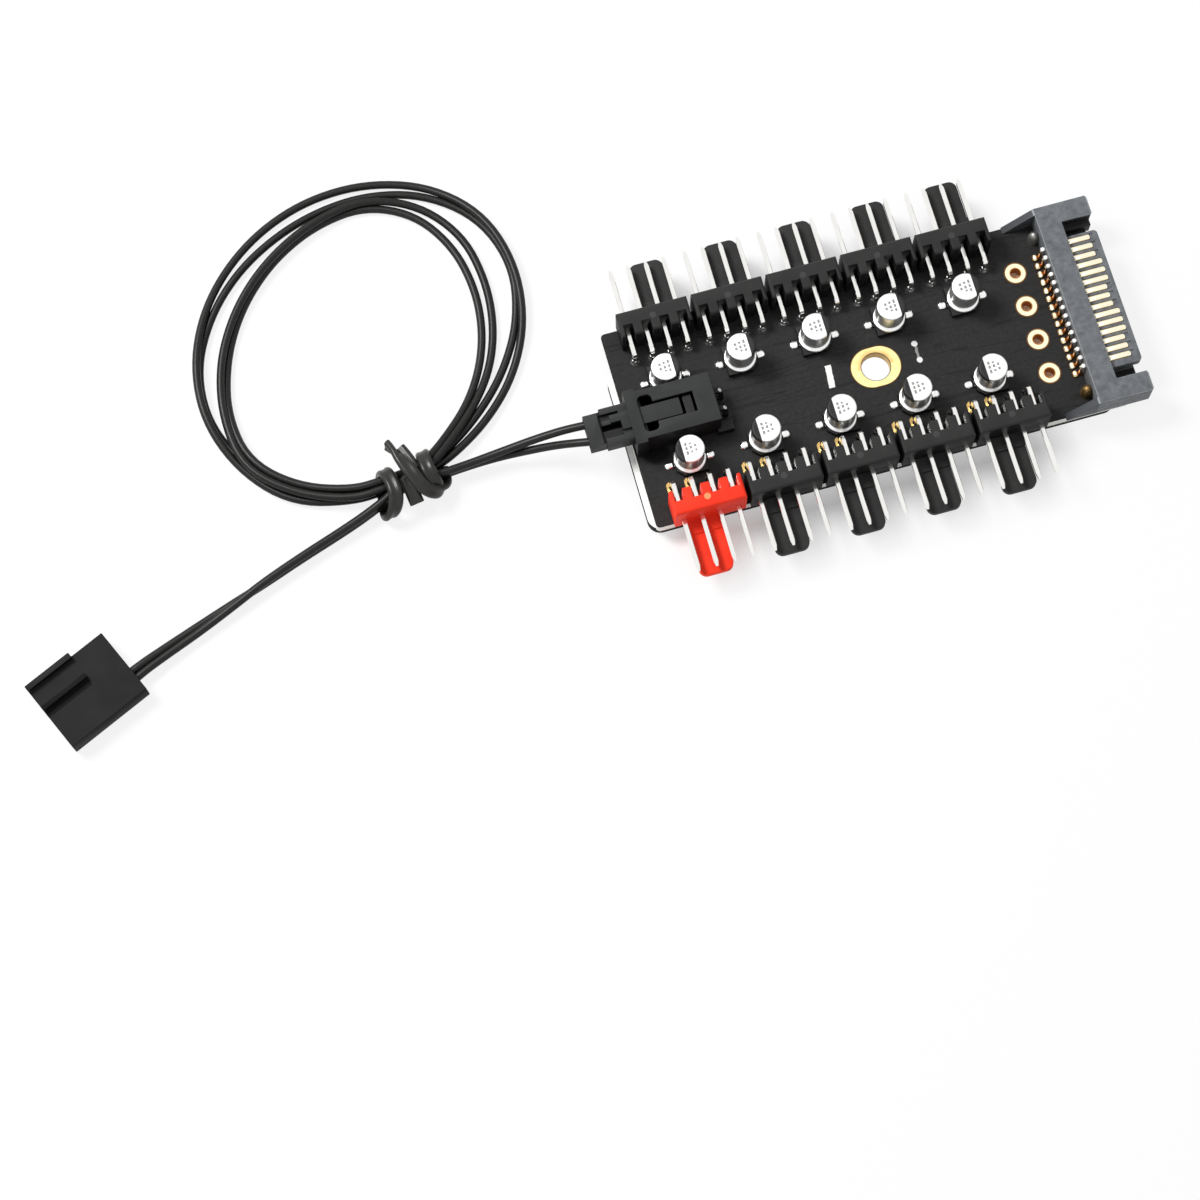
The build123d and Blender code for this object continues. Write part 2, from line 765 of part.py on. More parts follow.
# Routes of the two wires, from the plug to the neck and from the neck to the fan connector
lead_a = [(-46.6, 1.5, 5.9), (-51.6, 1.95, 3.6)]
lead_b = [(-46.6, -0.35, 5.9), (-51.6, 0.5, 3.6)]
tail_a = [(-80.2, -2.45, 1.3), (-85.0, -4.45, 1.75), (-89.6, -6.7, 2.0), (-95.2, -9.4, 1.9), (-101.2, -12.6, 1.7)]
tail_b = [(-80.4, -3.7, 0.65), (-85.2, -5.6, 0.6), (-89.8, -7.2, 0.58), (-95.6, -8.8, 0.6), (-101.6, -11.0, 1.0)]
ends_a = (plug_point(lead_ys[0]), plug_point(lead_ys[0], plug_run))
ends_b = (plug_point(lead_ys[1]), plug_point(lead_ys[1], plug_run))
wire_routes = {
    "lead_wire_a": [*ends_a, *lead_a, neck_point(1, 1, neck_run), neck_point(1, 1)],
    "lead_wire_b": [*ends_b, *lead_b, neck_point(1, -1, neck_run), neck_point(1, -1)],
    "tail_wire_a": [
        neck_point(-1, 1),
        neck_point(-1, 1, tail_run),
        *tail_a,
        way_point(fitted_way_ys[-1], way_run),
        way_point(fitted_way_ys[-1]),
    ],
    "tail_wire_b": [
        neck_point(-1, -1),
        neck_point(-1, -1, tail_run),
        *tail_b,
        way_point(fitted_way_ys[0], way_run),
        way_point(fitted_way_ys[0]),
    ],
}
for wire_name, route in wire_routes.items():
    points = [Vector(*point) for point in route]
    radii = corner_radii(points)
    with BuildPart() as wire:
        with BuildLine() as wire_line:
            FilletPolyline(*points, radius=radii)
        with BuildSketch(Plane(origin=wire_line.line @ 0, z_dir=wire_line.line % 0)):
            Circle(wire_diameter / 2)
        sweep(path=wire_line.line)
    save(wire, wire_name)
    wire_length = wire_line.wire().length
    wire_section = pi * wire_diameter**2 / 4
    print(wire_name, "radii", [round(r, 1) for r in radii], "length", round(wire_length, 2))
    print(wire_name, "volume over section x length", round(wire.part.volume / wire_section / wire_length, 4))
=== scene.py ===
# %% [markdown]
# A fan hub for a desktop computer: a long circuit board with five fan headers along each side, ten small
# capacitors, a power inlet at one end and a two-wire speed lead at the other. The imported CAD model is
# the fixed frame. Everything below is made around it in the same frame, with +X towards the power inlet,
# +Y towards the back row of headers and +Z up. The hub's sizes are written in millimetres and turned into
# metres where a mesh is made. The camera, the cords, the floor's size and the lamp are given in metres.

# %% Frame
import math

import bmesh
import bpy
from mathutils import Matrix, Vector


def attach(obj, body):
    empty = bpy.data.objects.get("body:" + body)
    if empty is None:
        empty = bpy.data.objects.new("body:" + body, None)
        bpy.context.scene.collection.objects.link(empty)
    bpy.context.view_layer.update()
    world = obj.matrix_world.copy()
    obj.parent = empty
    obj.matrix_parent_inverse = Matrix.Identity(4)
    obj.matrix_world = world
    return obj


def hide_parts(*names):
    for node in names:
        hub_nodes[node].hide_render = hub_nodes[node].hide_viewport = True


MM = 0.001
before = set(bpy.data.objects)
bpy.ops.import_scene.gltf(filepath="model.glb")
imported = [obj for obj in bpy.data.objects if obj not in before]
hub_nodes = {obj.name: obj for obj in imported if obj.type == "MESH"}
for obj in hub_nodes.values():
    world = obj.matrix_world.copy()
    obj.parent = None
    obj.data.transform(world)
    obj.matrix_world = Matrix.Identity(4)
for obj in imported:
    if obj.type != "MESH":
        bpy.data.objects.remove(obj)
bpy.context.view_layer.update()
scene = bpy.context.scene

# %% [markdown]
# The camera stands where the photograph was taken from: high above the hub, a little to its left and in
# front. Its place, turn and focal length come from matching some forty known points, such as pin tips
# and holes, with the picture. The picture's middle lies below the hub, so the lens is shifted rather
# than the camera tilted.

# %% Camera
eye_data = bpy.data.cameras.new("studio_camera")
eye_data.sensor_width = 36.0
eye_data.lens = 89.11
eye_data.shift_x = 0.0075
eye_data.shift_y = -0.1117
eye = bpy.data.objects.new("studio_camera", eye_data)
eye.location = (-0.0674303, -0.1260537, 0.3886070)
eye.rotation_euler = (0.314220, 0.019027, -0.269077)
scene.collection.objects.link(eye)
scene.camera = eye
print("camera at", [round(c, 3) for c in eye.location])

# %% [markdown]
# Every finish is a small node tree on the Principled shader. Writing node trees by hand is long, so one
# class wraps a socket and lets ordinary arithmetic add the Math nodes, and another holds a material and
# adds any other node. A pattern can then be read as a formula, and a number that never changes goes
# straight on to the shader's socket.


# %% Shader arithmetic
class Reading:
    """One output socket of a finish. Arithmetic on it adds Math nodes to the finish's tree."""

    def __init__(self, finish, socket):
        self.finish = finish
        self.socket = socket

    def math(self, operation, first, second=None):
        values = {0: first} if second is None else {0: first, 1: second}
        return self.finish.node("ShaderNodeMath", {"operation": operation}, values)

    def __add__(self, other):
        return self.math("ADD", self, other)

    __radd__ = __add__

    def __sub__(self, other):
        return self.math("SUBTRACT", self, other)

    def __rsub__(self, other):
        return self.math("SUBTRACT", other, self)

    def __mul__(self, other):
        return self.math("MULTIPLY", self, other)

    __rmul__ = __mul__

    def __truediv__(self, other):
        return self.math("DIVIDE", self, other)

    def __pow__(self, other):
        return self.math("POWER", self, other)

    def __abs__(self):
        return self.math("ABSOLUTE", self)

    def __gt__(self, other):
        return self.math("GREATER_THAN", self, other)

    def __lt__(self, other):
        return self.math("LESS_THAN", self, other)

    def larger(self, other):
        return self.math("MAXIMUM", self, other)

    def root(self):
        return self.math("SQRT", self)

    def fraction(self):
        return self.math("FRACT", self)

    def folded(self, pitch, start=0.0):
        """The distance along a row from its nearest member, for members every pitch from start."""
        return (((self - start) / pitch + 0.5).fraction() - 0.5) * pitch

    def apart(self, other):
        """The length of the line with these two sides."""
        return (self**2 + other**2).root()


class Finish:
    """A material named for a surface of the hub, with the few node helpers that the finishes share."""

    # A Mix node has a set of sockets for each kind of value, so those for colours are told by their place.
    MIX_SHARE, MIX_FIRST, MIX_SECOND, MIX_RESULT = 0, 6, 7, 2

    def __init__(self, name, **constants):
        self.material = bpy.data.materials.new(name)
        self.material.use_nodes = True
        self.tree = self.material.node_tree
        self.shader = next(n for n in self.tree.nodes if n.type == "BSDF_PRINCIPLED")
        self.set(**constants)
        print("finish", name)

    def feed(self, socket, value):
        if isinstance(value, Reading):
            self.tree.links.new(value.socket, socket)
        else:
            socket.default_value = value

    def set(self, **values):
        for name, value in values.items():
            self.feed(self.shader.inputs[name.replace("_", " ").title().replace("Ior", "IOR")], value)

    def node(self, kind, settings=None, sockets=None, output=0):
        made = self.tree.nodes.new(kind)
        for name, value in (settings or {}).items():
            setattr(made, name, value)
        for name, value in (sockets or {}).items():
            self.feed(made.inputs[name], value)
        return Reading(self, made.outputs[output])

    def place(self):
        """The Object coordinates as three readings in millimetres."""
        coordinates = self.node("ShaderNodeTexCoord", output="Object")
        split = self.node("ShaderNodeSeparateXYZ", sockets={0: coordinates})
        return [Reading(self, axis) * (1 / MM) for axis in split.socket.node.outputs]

    def facing(self):
        """The z part of the surface's normal."""
        normal = self.node("ShaderNodeNewGeometry", output="Normal")
        return self.node("ShaderNodeSeparateXYZ", sockets={0: normal}, output="Z")

    def noise(self, grain, detail=2.0, stretch=None):
        """Noise whose grain is about that many millimetres, from 0 to 1 about 0.5."""
        coordinates = self.node("ShaderNodeTexCoord", output="Object")
        if stretch:
            coordinates = self.node("ShaderNodeMapping", sockets={"Vector": coordinates, "Scale": stretch})
        sockets = {"Vector": coordinates, "Scale": 1 / (grain * MM), "Detail": detail}
        return self.node("ShaderNodeTexNoise", sockets=sockets)

    def mix(self, share, first, second):
        """From the first colour at 0 to the second at 1."""
        sockets = {self.MIX_SHARE: share, self.MIX_FIRST: first, self.MIX_SECOND: second}
        return self.node("ShaderNodeMix", {"data_type": "RGBA"}, sockets, self.MIX_RESULT)

    def paint(self, share, over):
        """Lays a colour over what the shader has so far, fully where the share is 1."""
        under = Reading(self, self.shader.inputs["Base Color"].links[0].from_socket)
        self.set(base_color=self.mix(share, under, over))

    def bump(self, height, depth):
        """A Bump node whose height of 1 stands for that many millimetres."""
        sockets = {"Strength": 1.0, "Distance": depth * MM, "Height": height}
        self.set(normal=self.node("ShaderNodeBump", sockets=sockets))


def colour(red, green, blue):
    return (red, green, blue, 1.0)


def grey(level):
    return colour(level, level, level)


def clouded(
    name, deep, pale, rough, grain, detail=2.0, stretch=None, relief=None, relief_grain=None, **constants
):
    """A finish whose colour and roughness follow one noise. rough is the least roughness and its range, and
    relief the depth of a bump from the same noise, or from one with a grain of its own."""
    finish = Finish(name, **constants)
    cloud = finish.noise(grain, detail, stretch)
    finish.set(base_color=finish.mix(cloud, deep, pale), roughness=rough[0] + cloud * rough[1])
    if relief:
        finish.bump(finish.noise(relief_grain) if relief_grain else cloud, relief)
    return finish


# %% [markdown]
# The two wires come first. Their jacket is soft black plastic: smooth, with a low gloss and the faint
# lengthwise draw marks of extrusion. Noise that is stretched along one axis would run across the wire in
# half of the coil, so an even, very fine noise is used.

# %% Wire jacket
wire_jacket = clouded(
    "wire_jacket", grey(0.005), colour(0.015, 0.015, 0.014), rough=(0.30, 0.16), grain=0.5,
    relief=0.012, relief_grain=0.35, specular_ior_level=0.24,
)

# %% [markdown]
# Each wire runs from the plug through a twist tie, twice round a loose loop, and back through the tie to
# the fan connector. One open NURBS line holds the whole wire: the lead's and tail's points follow the
# CAD route, and the two turns are more points of the same line, every 20 degrees round the loop. The
# turns are loose: they drift apart at the top and on the right, and lie on each other elsewhere, so
# every point has its own radius and its own layer.

# %% Wire routes
WIRE = 1.15
WIRE_LEVEL = 0.6
LOOP_MIDDLE = Vector((-67.5, 23.2))
TURN_START = 254
TURN_STEP = 20
NURBS_REACH = 1 / math.cos(math.radians(TURN_STEP / 2))


def turn(radii, layers):
    """One turn, clockwise from the left of the tie to its right. A layer of 1 lies on the wire below it."""
    points = []
    for step, (radius, layer) in enumerate(zip(radii, layers)):
        angle = math.radians(TURN_START - step * TURN_STEP)
        spot = LOOP_MIDDLE + Vector((math.cos(angle), math.sin(angle))) * radius * NURBS_REACH
        points.append((spot.x, spot.y, WIRE_LEVEL + layer * WIRE))
    return points


outer_a = turn(
    [21.4, 22.8, 22.9, 23.2, 22.5, 21.2, 20.4, 20.2, 20.9, 22.4, 24.1, 25.0, 24.2, 22.1, 20.3, 19.4, 19.7],
    [0.45, 0.1, 0, 0, 0, 0, 0, 0, 0, 0, 0, 0, 0, 0, 0, 0.1, 0.45],
)
outer_b = turn(
    [22.5, 24.0, 23.8, 23.5, 22.7, 22.1, 22.0, 22.3, 23.1, 24.2, 25.4, 25.5, 24.4, 23.1, 21.8, 20.9, 20.8],
    [0.45, 0.1, 0, 0.9, 1.0, 0.6, 0, 0, 0, 0, 0, 0.9, 1.0, 0.5, 0, 0.1, 0.45],
)
inner_a = turn(
    [21.2, 21.9, 22.3, 20.3, 18.4, 17.4, 17.2, 17.8, 19.1, 20.8, 20.8, 19.4, 18.0, 17.2, 17.0, 17.4, 18.5],
    [1.45, 0.9, 1.0, 0.2, 0, 0, 0, 0, 0, 0, 0, 0, 0, 0, 0, 0.2, 0.9],
)
inner_b = turn(
    [22.5, 23.0, 23.4, 21.0, 19.2, 18.0, 17.6, 18.0, 19.4, 21.6, 22.3, 21.5, 19.8, 18.8, 18.4, 18.4, 19.5],
    [1.45, 1.1, 1.0, 0.8, 0.8, 0.8, 0.95, 1.0, 0.95, 0.7, 0, 0, 0, 0, 0, 0.5, 1.3],
)
route_a = [
    (-39.81, 1.27, 6.7), (-42.3, 1.65, 6.25), (-46.9, 2.0, 4.8), (-52.7, 1.95, 3.2), (-57.7, 1.6, 2.7),
    (-62.95, 1.3, 2.6), (-65.6, 1.9, 2.0), (-68.9, 2.6, 1.45),
    *outer_a,
    (-62.95, 3.6, 1.45), (-65.6, 3.1, 2.0), (-68.9, 2.6, 2.6),
    *inner_a,
    (-62.95, 3.6, 2.6), (-65.6, 2.3, 2.8), (-68.9, 0.1, 2.6), (-72.5, -1.35, 2.1), (-76.5, -2.7, 1.8),
    (-82.6, -4.72, 1.75), (-88.4, -6.88, 1.75), (-91.8, -8.4, 1.55), (-97.8, -10.9, 1.15),
    (-103.4, -13.1, 1.35), (-107.2, -14.75, 1.65), (-109.3, -15.95, 1.65),
]
route_b = [
    (-39.81, -1.27, 6.7), (-41.8, -0.75, 6.35), (-45.2, 0.35, 4.75), (-48.8, 1.2, 3.0),
    (-52.8, 1.75, 1.9), (-57.0, 1.8, 1.45), (-62.95, 1.3, 1.45), (-65.6, 1.3, 1.45),
    (-68.9, 1.45, 1.45),
    *outer_b,
    (-62.95, 2.45, 1.45), (-65.6, 2.1, 2.0), (-68.9, 1.45, 2.6),
    *inner_b,
    (-62.95, 2.45, 2.6), (-65.6, 1.2, 2.2), (-68.9, 0.1, 1.45), (-72.5, -1.35, 0.95),
    (-76.5, -2.7, 0.62), (-82.6, -4.7, 0.6), (-88.4, -6.8, 0.6), (-92.0, -7.93, 0.62),
    (-98.1, -10.06, 0.78), (-103.7, -12.15, 1.2), (-107.3, -13.6, 1.65), (-109.4, -14.6, 1.65),
]


def smooth_line(name, points, closed=False):
    """A curve of one NURBS spline with those points in millimetres as its control points."""
    line = bpy.data.curves.new(name, "CURVE")
    line.dimensions = "3D"
    line.resolution_u = 6
    spline = line.splines.new("NURBS")
    spline.points.add(len(points) - 1)
    for point, spot in zip(spline.points, points):
        point.co = (spot[0] * MM, spot[1] * MM, spot[2] * MM, 1.0)
    spline.use_cyclic_u = closed
    spline.order_u = 3
    spline.use_endpoint_u = not closed
    return line


def show(name, data):
    piece = bpy.data.objects.new(name, data)
    scene.collection.objects.link(piece)
    return piece


def wire(name, route):
    line = smooth_line(name, route)
    line.bevel_depth = WIRE / 2 * MM
    line.bevel_resolution = 4
    line.use_fill_caps = True
    line.materials.append(wire_jacket.material)
    piece = show(name, line)
    length = sum(spline.calc_length() for spline in line.splines)
    print(name, "is", round(length, 4), "m long")
    return piece


wire_a = wire("wire_a", route_a)
wire_b = wire("wire_b", route_b)

# %% [markdown]
# Most of the housings are mouldings whose CAD solids already have the right form but knife-sharp edges.
# A copy of the solid's mesh is welded, its flat faces joined, and a fine rounded edge is added, which is
# what catches the light on a real moulding. The same helper takes one node or several.


# %% Rounded mouldings
def settle(piece):
    """Turns the piece's evaluated shape into its plain mesh and drops the modifiers."""
    depsgraph = bpy.context.evaluated_depsgraph_get()
    mesh = bpy.data.meshes.new_from_object(piece.evaluated_get(depsgraph))
    piece.modifiers.clear()
    bare = piece.data
    piece.data = mesh
    bpy.data.meshes.remove(bare)
    return piece


def round_edges(piece, width, segments=3, angle=32):
    rounded = piece.modifiers.new("rounded_edges", "BEVEL")
    rounded.width = width * MM
    rounded.segments = segments
    rounded.limit_method = "ANGLE"
    rounded.angle_limit = math.radians(angle)
    rounded.use_clamp_overlap = True
    rounded.harden_normals = True
    return settle(piece)


def finish_mesh(form, name, finish, smooth_angle=None):
    """Makes the bmesh, in millimetres, a shown piece in metres."""
    bmesh.ops.scale(form, vec=(MM, MM, MM), verts=form.verts)
    mesh = bpy.data.meshes.new(name)
    form.to_mesh(mesh)
    form.free()
    for face in mesh.polygons:
        face.use_smooth = True
    if smooth_angle:
        mesh.set_sharp_from_angle(angle=math.radians(smooth_angle))
    mesh.materials.append(finish.material)
    return show(name, mesh)


def welded(node_names, join_flat=True):
    """The nodes' meshes in one bmesh, in millimetres, welded and, if wanted, with their flat faces joined."""
    form = bmesh.new()
    for node_name in node_names:
        form.from_mesh(hub_nodes[node_name].data)
    bmesh.ops.scale(form, vec=(1 / MM, 1 / MM, 1 / MM), verts=form.verts)
    bmesh.ops.remove_doubles(form, verts=form.verts, dist=0.001)
    if join_flat:
        bmesh.ops.dissolve_limit(form, angle_limit=math.radians(1), verts=form.verts, edges=form.edges)
    return form


def declare(piece, replaced=()):
    """Fixes the piece to the frame's root, which never moves, and hides the nodes that it stands for."""
    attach(piece, "root")
    if replaced:
        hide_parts(*replaced)


def moulding(name, finish, node_names, edge, join_flat=True):
    piece = finish_mesh(welded(node_names, join_flat), name, finish)
    round_edges(piece, edge)
    declare(piece, node_names)
    print(name, "has", len(piece.data.polygons), "faces")
    return piece


def numbered(stem):
    """The names of the ten nodes of one kind."""
    return [f"{stem}_{number:02d}" for number in range(1, 11)]


# %% [markdown]
# Header housings are glass-filled nylon straight from the mould: nine black, one red to mark where the
# speed signal comes from. Up close such a surface has a fine, even grain and small cloudy changes of
# gloss. The red one is lit through a little, so its own colour varies from a deep to an orange red.


# %% Header finishes
HEADER_PITCH = 10.68
FIRST_HEADER_X = -27.56
HEADER_XS = [FIRST_HEADER_X + HEADER_PITCH * i for i in range(5)]
HEADER_EDGE = 0.14
GATE_AT = (-0.14, 13.49)
GATE_RADIUS = 0.45
GATE_ABOVE = 8.5
UPRIGHT = 0.5


def nylon(name, deep, pale, roughness, gloss=0.1, gate=None, side_shade=None, mottle=None):
    """Moulded nylon. side_shade is a painted shade on the upright faces, gate the round mark where a
    header's mould was filled, and mottle is the grain of a blotchy colour in place of the cloudy one."""
    finish = Finish(name, specular_ior_level=gloss)
    cloud = finish.noise(2.6, 3.0)
    blotches = (finish.noise(mottle, 4.0) - 0.5) * 1.9 + 0.5 if mottle else cloud
    finish.set(base_color=finish.mix(blotches, deep, pale), roughness=roughness + cloud * 0.18)
    # The upright faces get a painted shade, darker than the lit tops.
    if side_shade:
        finish.paint(finish.facing() < UPRIGHT, side_shade)
    if gate:
        x, y, z = finish.place()
        from_gate = x.folded(HEADER_PITCH, FIRST_HEADER_X + GATE_AT[0]).apart(abs(y) - GATE_AT[1])
        finish.paint((from_gate < GATE_RADIUS) * (z > GATE_ABOVE), gate)
    finish.bump(finish.noise(0.16, 3.0), 0.010)
    return finish


# A near-black for painted shade on upright faces and in slots, also used for the board's dark track lines.
SHADE_AND_TRACK_BLACK = grey(0.008)
BLACK_DEEP, BLACK_PALE = grey(0.024), colour(0.040, 0.040, 0.039)
black_nylon = nylon("black_nylon", BLACK_DEEP, BLACK_PALE, 0.40, gate=grey(0.055), side_shade=SHADE_AND_TRACK_BLACK)
RED_DEEP, RED_PALE = colour(0.86, 0.030, 0.014), colour(1.0, 0.062, 0.026)
red_nylon = nylon("red_nylon", RED_DEEP, RED_PALE, 0.40, gate=colour(1.0, 0.32, 0.14))
header_names = numbered("fan_header")
moulding("fan_headers_black", black_nylon, header_names[1:], HEADER_EDGE)
moulding("fan_header_red", red_nylon, header_names[:1], HEADER_EDGE)

# %% [markdown]
# The lead socket and the plug in it are black plastic with a satin skin. They use the same grain as the
# headers, with their own colours and gloss, and the same painted shade on their upright faces. Little
# light reaches the room inside the socket, so a painted shade makes the finish darkest there.

# %% Lead socket
SOCKET_DEEP, SOCKET_PALE = colour(0.030, 0.031, 0.031), colour(0.046, 0.047, 0.047)
SOCKET_EDGE = 0.14
INSIDE_LOW, INSIDE_HIGH = 5.3, 7.9
INSIDE_HALF = 2.3
INSIDE_FROM_X = -38.9
socket_plastic = nylon("socket_plastic", SOCKET_DEEP, SOCKET_PALE, 0.38, side_shade=SHADE_AND_TRACK_BLACK)
x, y, z = socket_plastic.place()
# A painted shade darkens the room inside the socket.
shaded_inside = (z < INSIDE_HIGH) * (z > INSIDE_LOW) * (abs(y) < INSIDE_HALF) * (x > INSIDE_FROM_X)
socket_plastic.paint(shaded_inside, grey(0.002))
moulding("lead_socket_shell", socket_plastic, ["lead_socket"], SOCKET_EDGE)

# %% [markdown]
# The fan connector at the far end lies askew on the table. A shadow of its rail is painted dark on the
# channel beside it, and its upright faces get a painted shade. For the shadow the place is first turned
# into distances along and across the connector, counted from its wire end.

# %% Fan connector
CONNECTOR_END = (-108.75, -12.75)
CONNECTOR_WAY = (-0.90996, -0.41469)
CONNECTOR_EDGE = 0.12
CHANNEL_ACROSS = -0.95
CHANNEL_HALF = 0.85
CHANNEL_FROM = 5.2
connector_plastic = nylon("connector_plastic", grey(0.014), grey(0.026), 0.46, 0.06, side_shade=SHADE_AND_TRACK_BLACK)
x, y, _ = connector_plastic.place()
x = x - CONNECTOR_END[0]
y = y - CONNECTOR_END[1]
along_connector = x * CONNECTOR_WAY[0] + y * CONNECTOR_WAY[1]
across_connector = y * CONNECTOR_WAY[0] - x * CONNECTOR_WAY[1]
# A painted shadow of the rail darkens the channel beside it.
rail_shadow = (abs(across_connector - CHANNEL_ACROSS) < CHANNEL_HALF) * (along_connector > CHANNEL_FROM)
connector_plastic.paint(rail_shadow * 0.8, grey(0.003))
fan_connector = moulding(
    "fan_connector_shell", connector_plastic, ["fan_connector"], CONNECTOR_EDGE, False
)

# %% [markdown]
# The power inlet is a dark blue-grey. It is mottled like recycled stock, and its rounded upper edges get
# a paler painted highlight. An edge is told from a flat face by its normal, which leans. The gussets
# behind the beam and the slots beside the tongue lie in the shade, so they are told by their place and
# painted darker.

# %% Power inlet
INLET_DEEP, INLET_PALE = colour(0.095, 0.101, 0.110), colour(0.190, 0.200, 0.214)
INLET_EDGE = 0.14
INLET_MOTTLE = 0.8
LEANS_FROM, LEANS_TO = 0.15, 0.97
HIGHLIGHT_ABOVE = 7.3
BEAM_BACK_X, BEAM_FRONT_X = 27.25, 30.55
GUSSET_TOP = 7.4
SLOT_TOP = 7.2
SLOT_Y = 11.15
SLOT_HALF = 1.1
TONGUE_Y = -0.2
inlet_plastic = nylon("inlet_plastic", INLET_DEEP, INLET_PALE, 0.46, 0.3, mottle=INLET_MOTTLE)
x, y, z = inlet_plastic.place()
facing = inlet_plastic.facing()
# The rounded upper edges get a paler painted highlight.
edge_highlight = (facing > LEANS_FROM) * (facing < LEANS_TO) * (z > HIGHLIGHT_ABOVE)
inlet_plastic.paint(edge_highlight, colour(0.30, 0.315, 0.33))
on_gusset = (x < BEAM_BACK_X) * (z < GUSSET_TOP)
inlet_plastic.paint(on_gusset, colour(0.065, 0.069, 0.076))
in_slot = (abs(abs(y - TONGUE_Y) - SLOT_Y) < SLOT_HALF) * (x > BEAM_FRONT_X) * (z < SLOT_TOP)
inlet_plastic.paint(in_slot, SHADE_AND_TRACK_BLACK)
moulding("inlet_shell", inlet_plastic, ["inlet_housing"], INLET_EDGE)

# %% [markdown]
# The plug has a pocket beside its latch, through which a terminal can be pressed out. A Boolean modifier
# with a small box cuts it from the copy of the plug. The bar in the socket's window, which the latch
# catches on, is a plain block.


# %% Plug pocket and latch bar
POCKET = ((-38.73, -1.76, 6.4), (-35.98, 0.15, 9.5))
LATCH_BAR = ((-27.1, -1.3, 5.3), (-25.85, 1.3, 8.3))
PLUG_EDGE = 0.08
BAR_EDGE = 0.1


def plate(form, outline, low, high):
    """Adds a flat plate with that outline, counter-clockwise, between two heights."""
    under = [form.verts.new((x, y, low)) for x, y in outline]
    over = [form.verts.new((x, y, high)) for x, y in outline]
    form.faces.new(over)
    form.faces.new(list(reversed(under)))
    for i in range(len(outline)):
        j = (i + 1) % len(outline)
        form.faces.new((under[i], under[j], over[j], over[i]))


def block(name, low, high, finish):
    """A plain box between two corners."""
    form = bmesh.new()
    plate(form, [(low[0], low[1]), (high[0], low[1]), (high[0], high[1]), (low[0], high[1])], low[2], high[2])
    return finish_mesh(form, name, finish, 30)


lead_plug = finish_mesh(welded(["lead_plug"]), "lead_plug_shell", socket_plastic)
pocket = block("plug_pocket", *POCKET, socket_plastic)
pocket_cut = lead_plug.modifiers.new("pocket", "BOOLEAN")
pocket_cut.operation = "DIFFERENCE"
pocket_cut.object = pocket
settle(lead_plug)
bpy.data.objects.remove(pocket)
round_edges(lead_plug, PLUG_EDGE)
declare(lead_plug, ["lead_plug"])
latch_bar = round_edges(block("latch_bar", *LATCH_BAR, black_nylon), BAR_EDGE)
declare(latch_bar)
print("plug has", len(lead_plug.data.polygons), "faces")

# %% [markdown]
# Pins, capacitors and solder repeat in rows. One tree does all of them: it takes points with a turn
# stored on each, puts a unit mesh on every point, makes the copies real and gives them their finish. The
# unit's size and finish are inputs, so the same tree serves forty pins and ten capacitors.


# %% Rows on spots
def row_tree():
    tree = bpy.data.node_groups.new("row_on_spots", "GeometryNodeTree")
    inputs = {}
    for title, kind in (("Spots", "Geometry"), ("Unit", "Object"), ("Size", "Float"), ("Finish", "Material")):
        inputs[title] = tree.interface.new_socket(title, in_out="INPUT", socket_type=f"NodeSocket{kind}")
    inputs["Size"].default_value = 1.0
    tree.interface.new_socket("Row", in_out="OUTPUT", socket_type="NodeSocketGeometry")
    given = tree.nodes.new("NodeGroupInput")
    result = tree.nodes.new("NodeGroupOutput")
    unit = tree.nodes.new("GeometryNodeObjectInfo")
    unit.inputs["As Instance"].default_value = True
    turned = tree.nodes.new("GeometryNodeInputNamedAttribute")
    turned.data_type = "FLOAT"
    turned.inputs["Name"].default_value = "turn"
    angles = tree.nodes.new("ShaderNodeCombineXYZ")
    rotation = tree.nodes.new("FunctionNodeEulerToRotation")
    copies = tree.nodes.new("GeometryNodeInstanceOnPoints")
    real = tree.nodes.new("GeometryNodeRealizeInstances")
    dressed = tree.nodes.new("GeometryNodeSetMaterial")
    for source, target in (
        (given.outputs["Spots"], copies.inputs["Points"]),
        (given.outputs["Unit"], unit.inputs["Object"]),
        (unit.outputs["Geometry"], copies.inputs["Instance"]),
        (turned.outputs["Attribute"], angles.inputs["Z"]),
        (angles.outputs["Vector"], rotation.inputs["Euler"]),
        (rotation.outputs["Rotation"], copies.inputs["Rotation"]),
        (given.outputs["Size"], copies.inputs["Scale"]),
        (copies.outputs["Instances"], real.inputs["Geometry"]),
        (real.outputs["Geometry"], dressed.inputs["Geometry"]),
        (given.outputs["Finish"], dressed.inputs["Material"]),
        (dressed.outputs["Geometry"], result.inputs["Row"]),
    ):
        tree.links.new(source, target)
    return tree, {title: socket.identifier for title, socket in inputs.items()}


ROW_TREE, ROW_INPUTS = row_tree()


def row(name, form, finish, spots, replaced=(), smooth_angle=35):
    """Puts the form on spots of (x, y, z, turn in degrees), in millimetres, as one plain mesh."""
    unit = finish_mesh(form, "unit", finish, smooth_angle)
    points = bpy.data.meshes.new(name)
    points.from_pydata([(x * MM, y * MM, z * MM) for x, y, z, _ in spots], [], [])
    turns = points.attributes.new("turn", "FLOAT", "POINT")
    for value, spot in zip(turns.data, spots):
        value.value = math.radians(spot[3])
    piece = show(name, points)
    rows = piece.modifiers.new("row", "NODES")
    rows.node_group = ROW_TREE
    rows[ROW_INPUTS["Unit"]] = unit
    rows[ROW_INPUTS["Size"]] = 1.0
    rows[ROW_INPUTS["Finish"]] = finish.material
    settle(piece)
    bpy.data.objects.remove(unit)
    declare(piece, replaced)
    print(name, "has", len(spots), "copies and", len(piece.data.polygons), "faces")


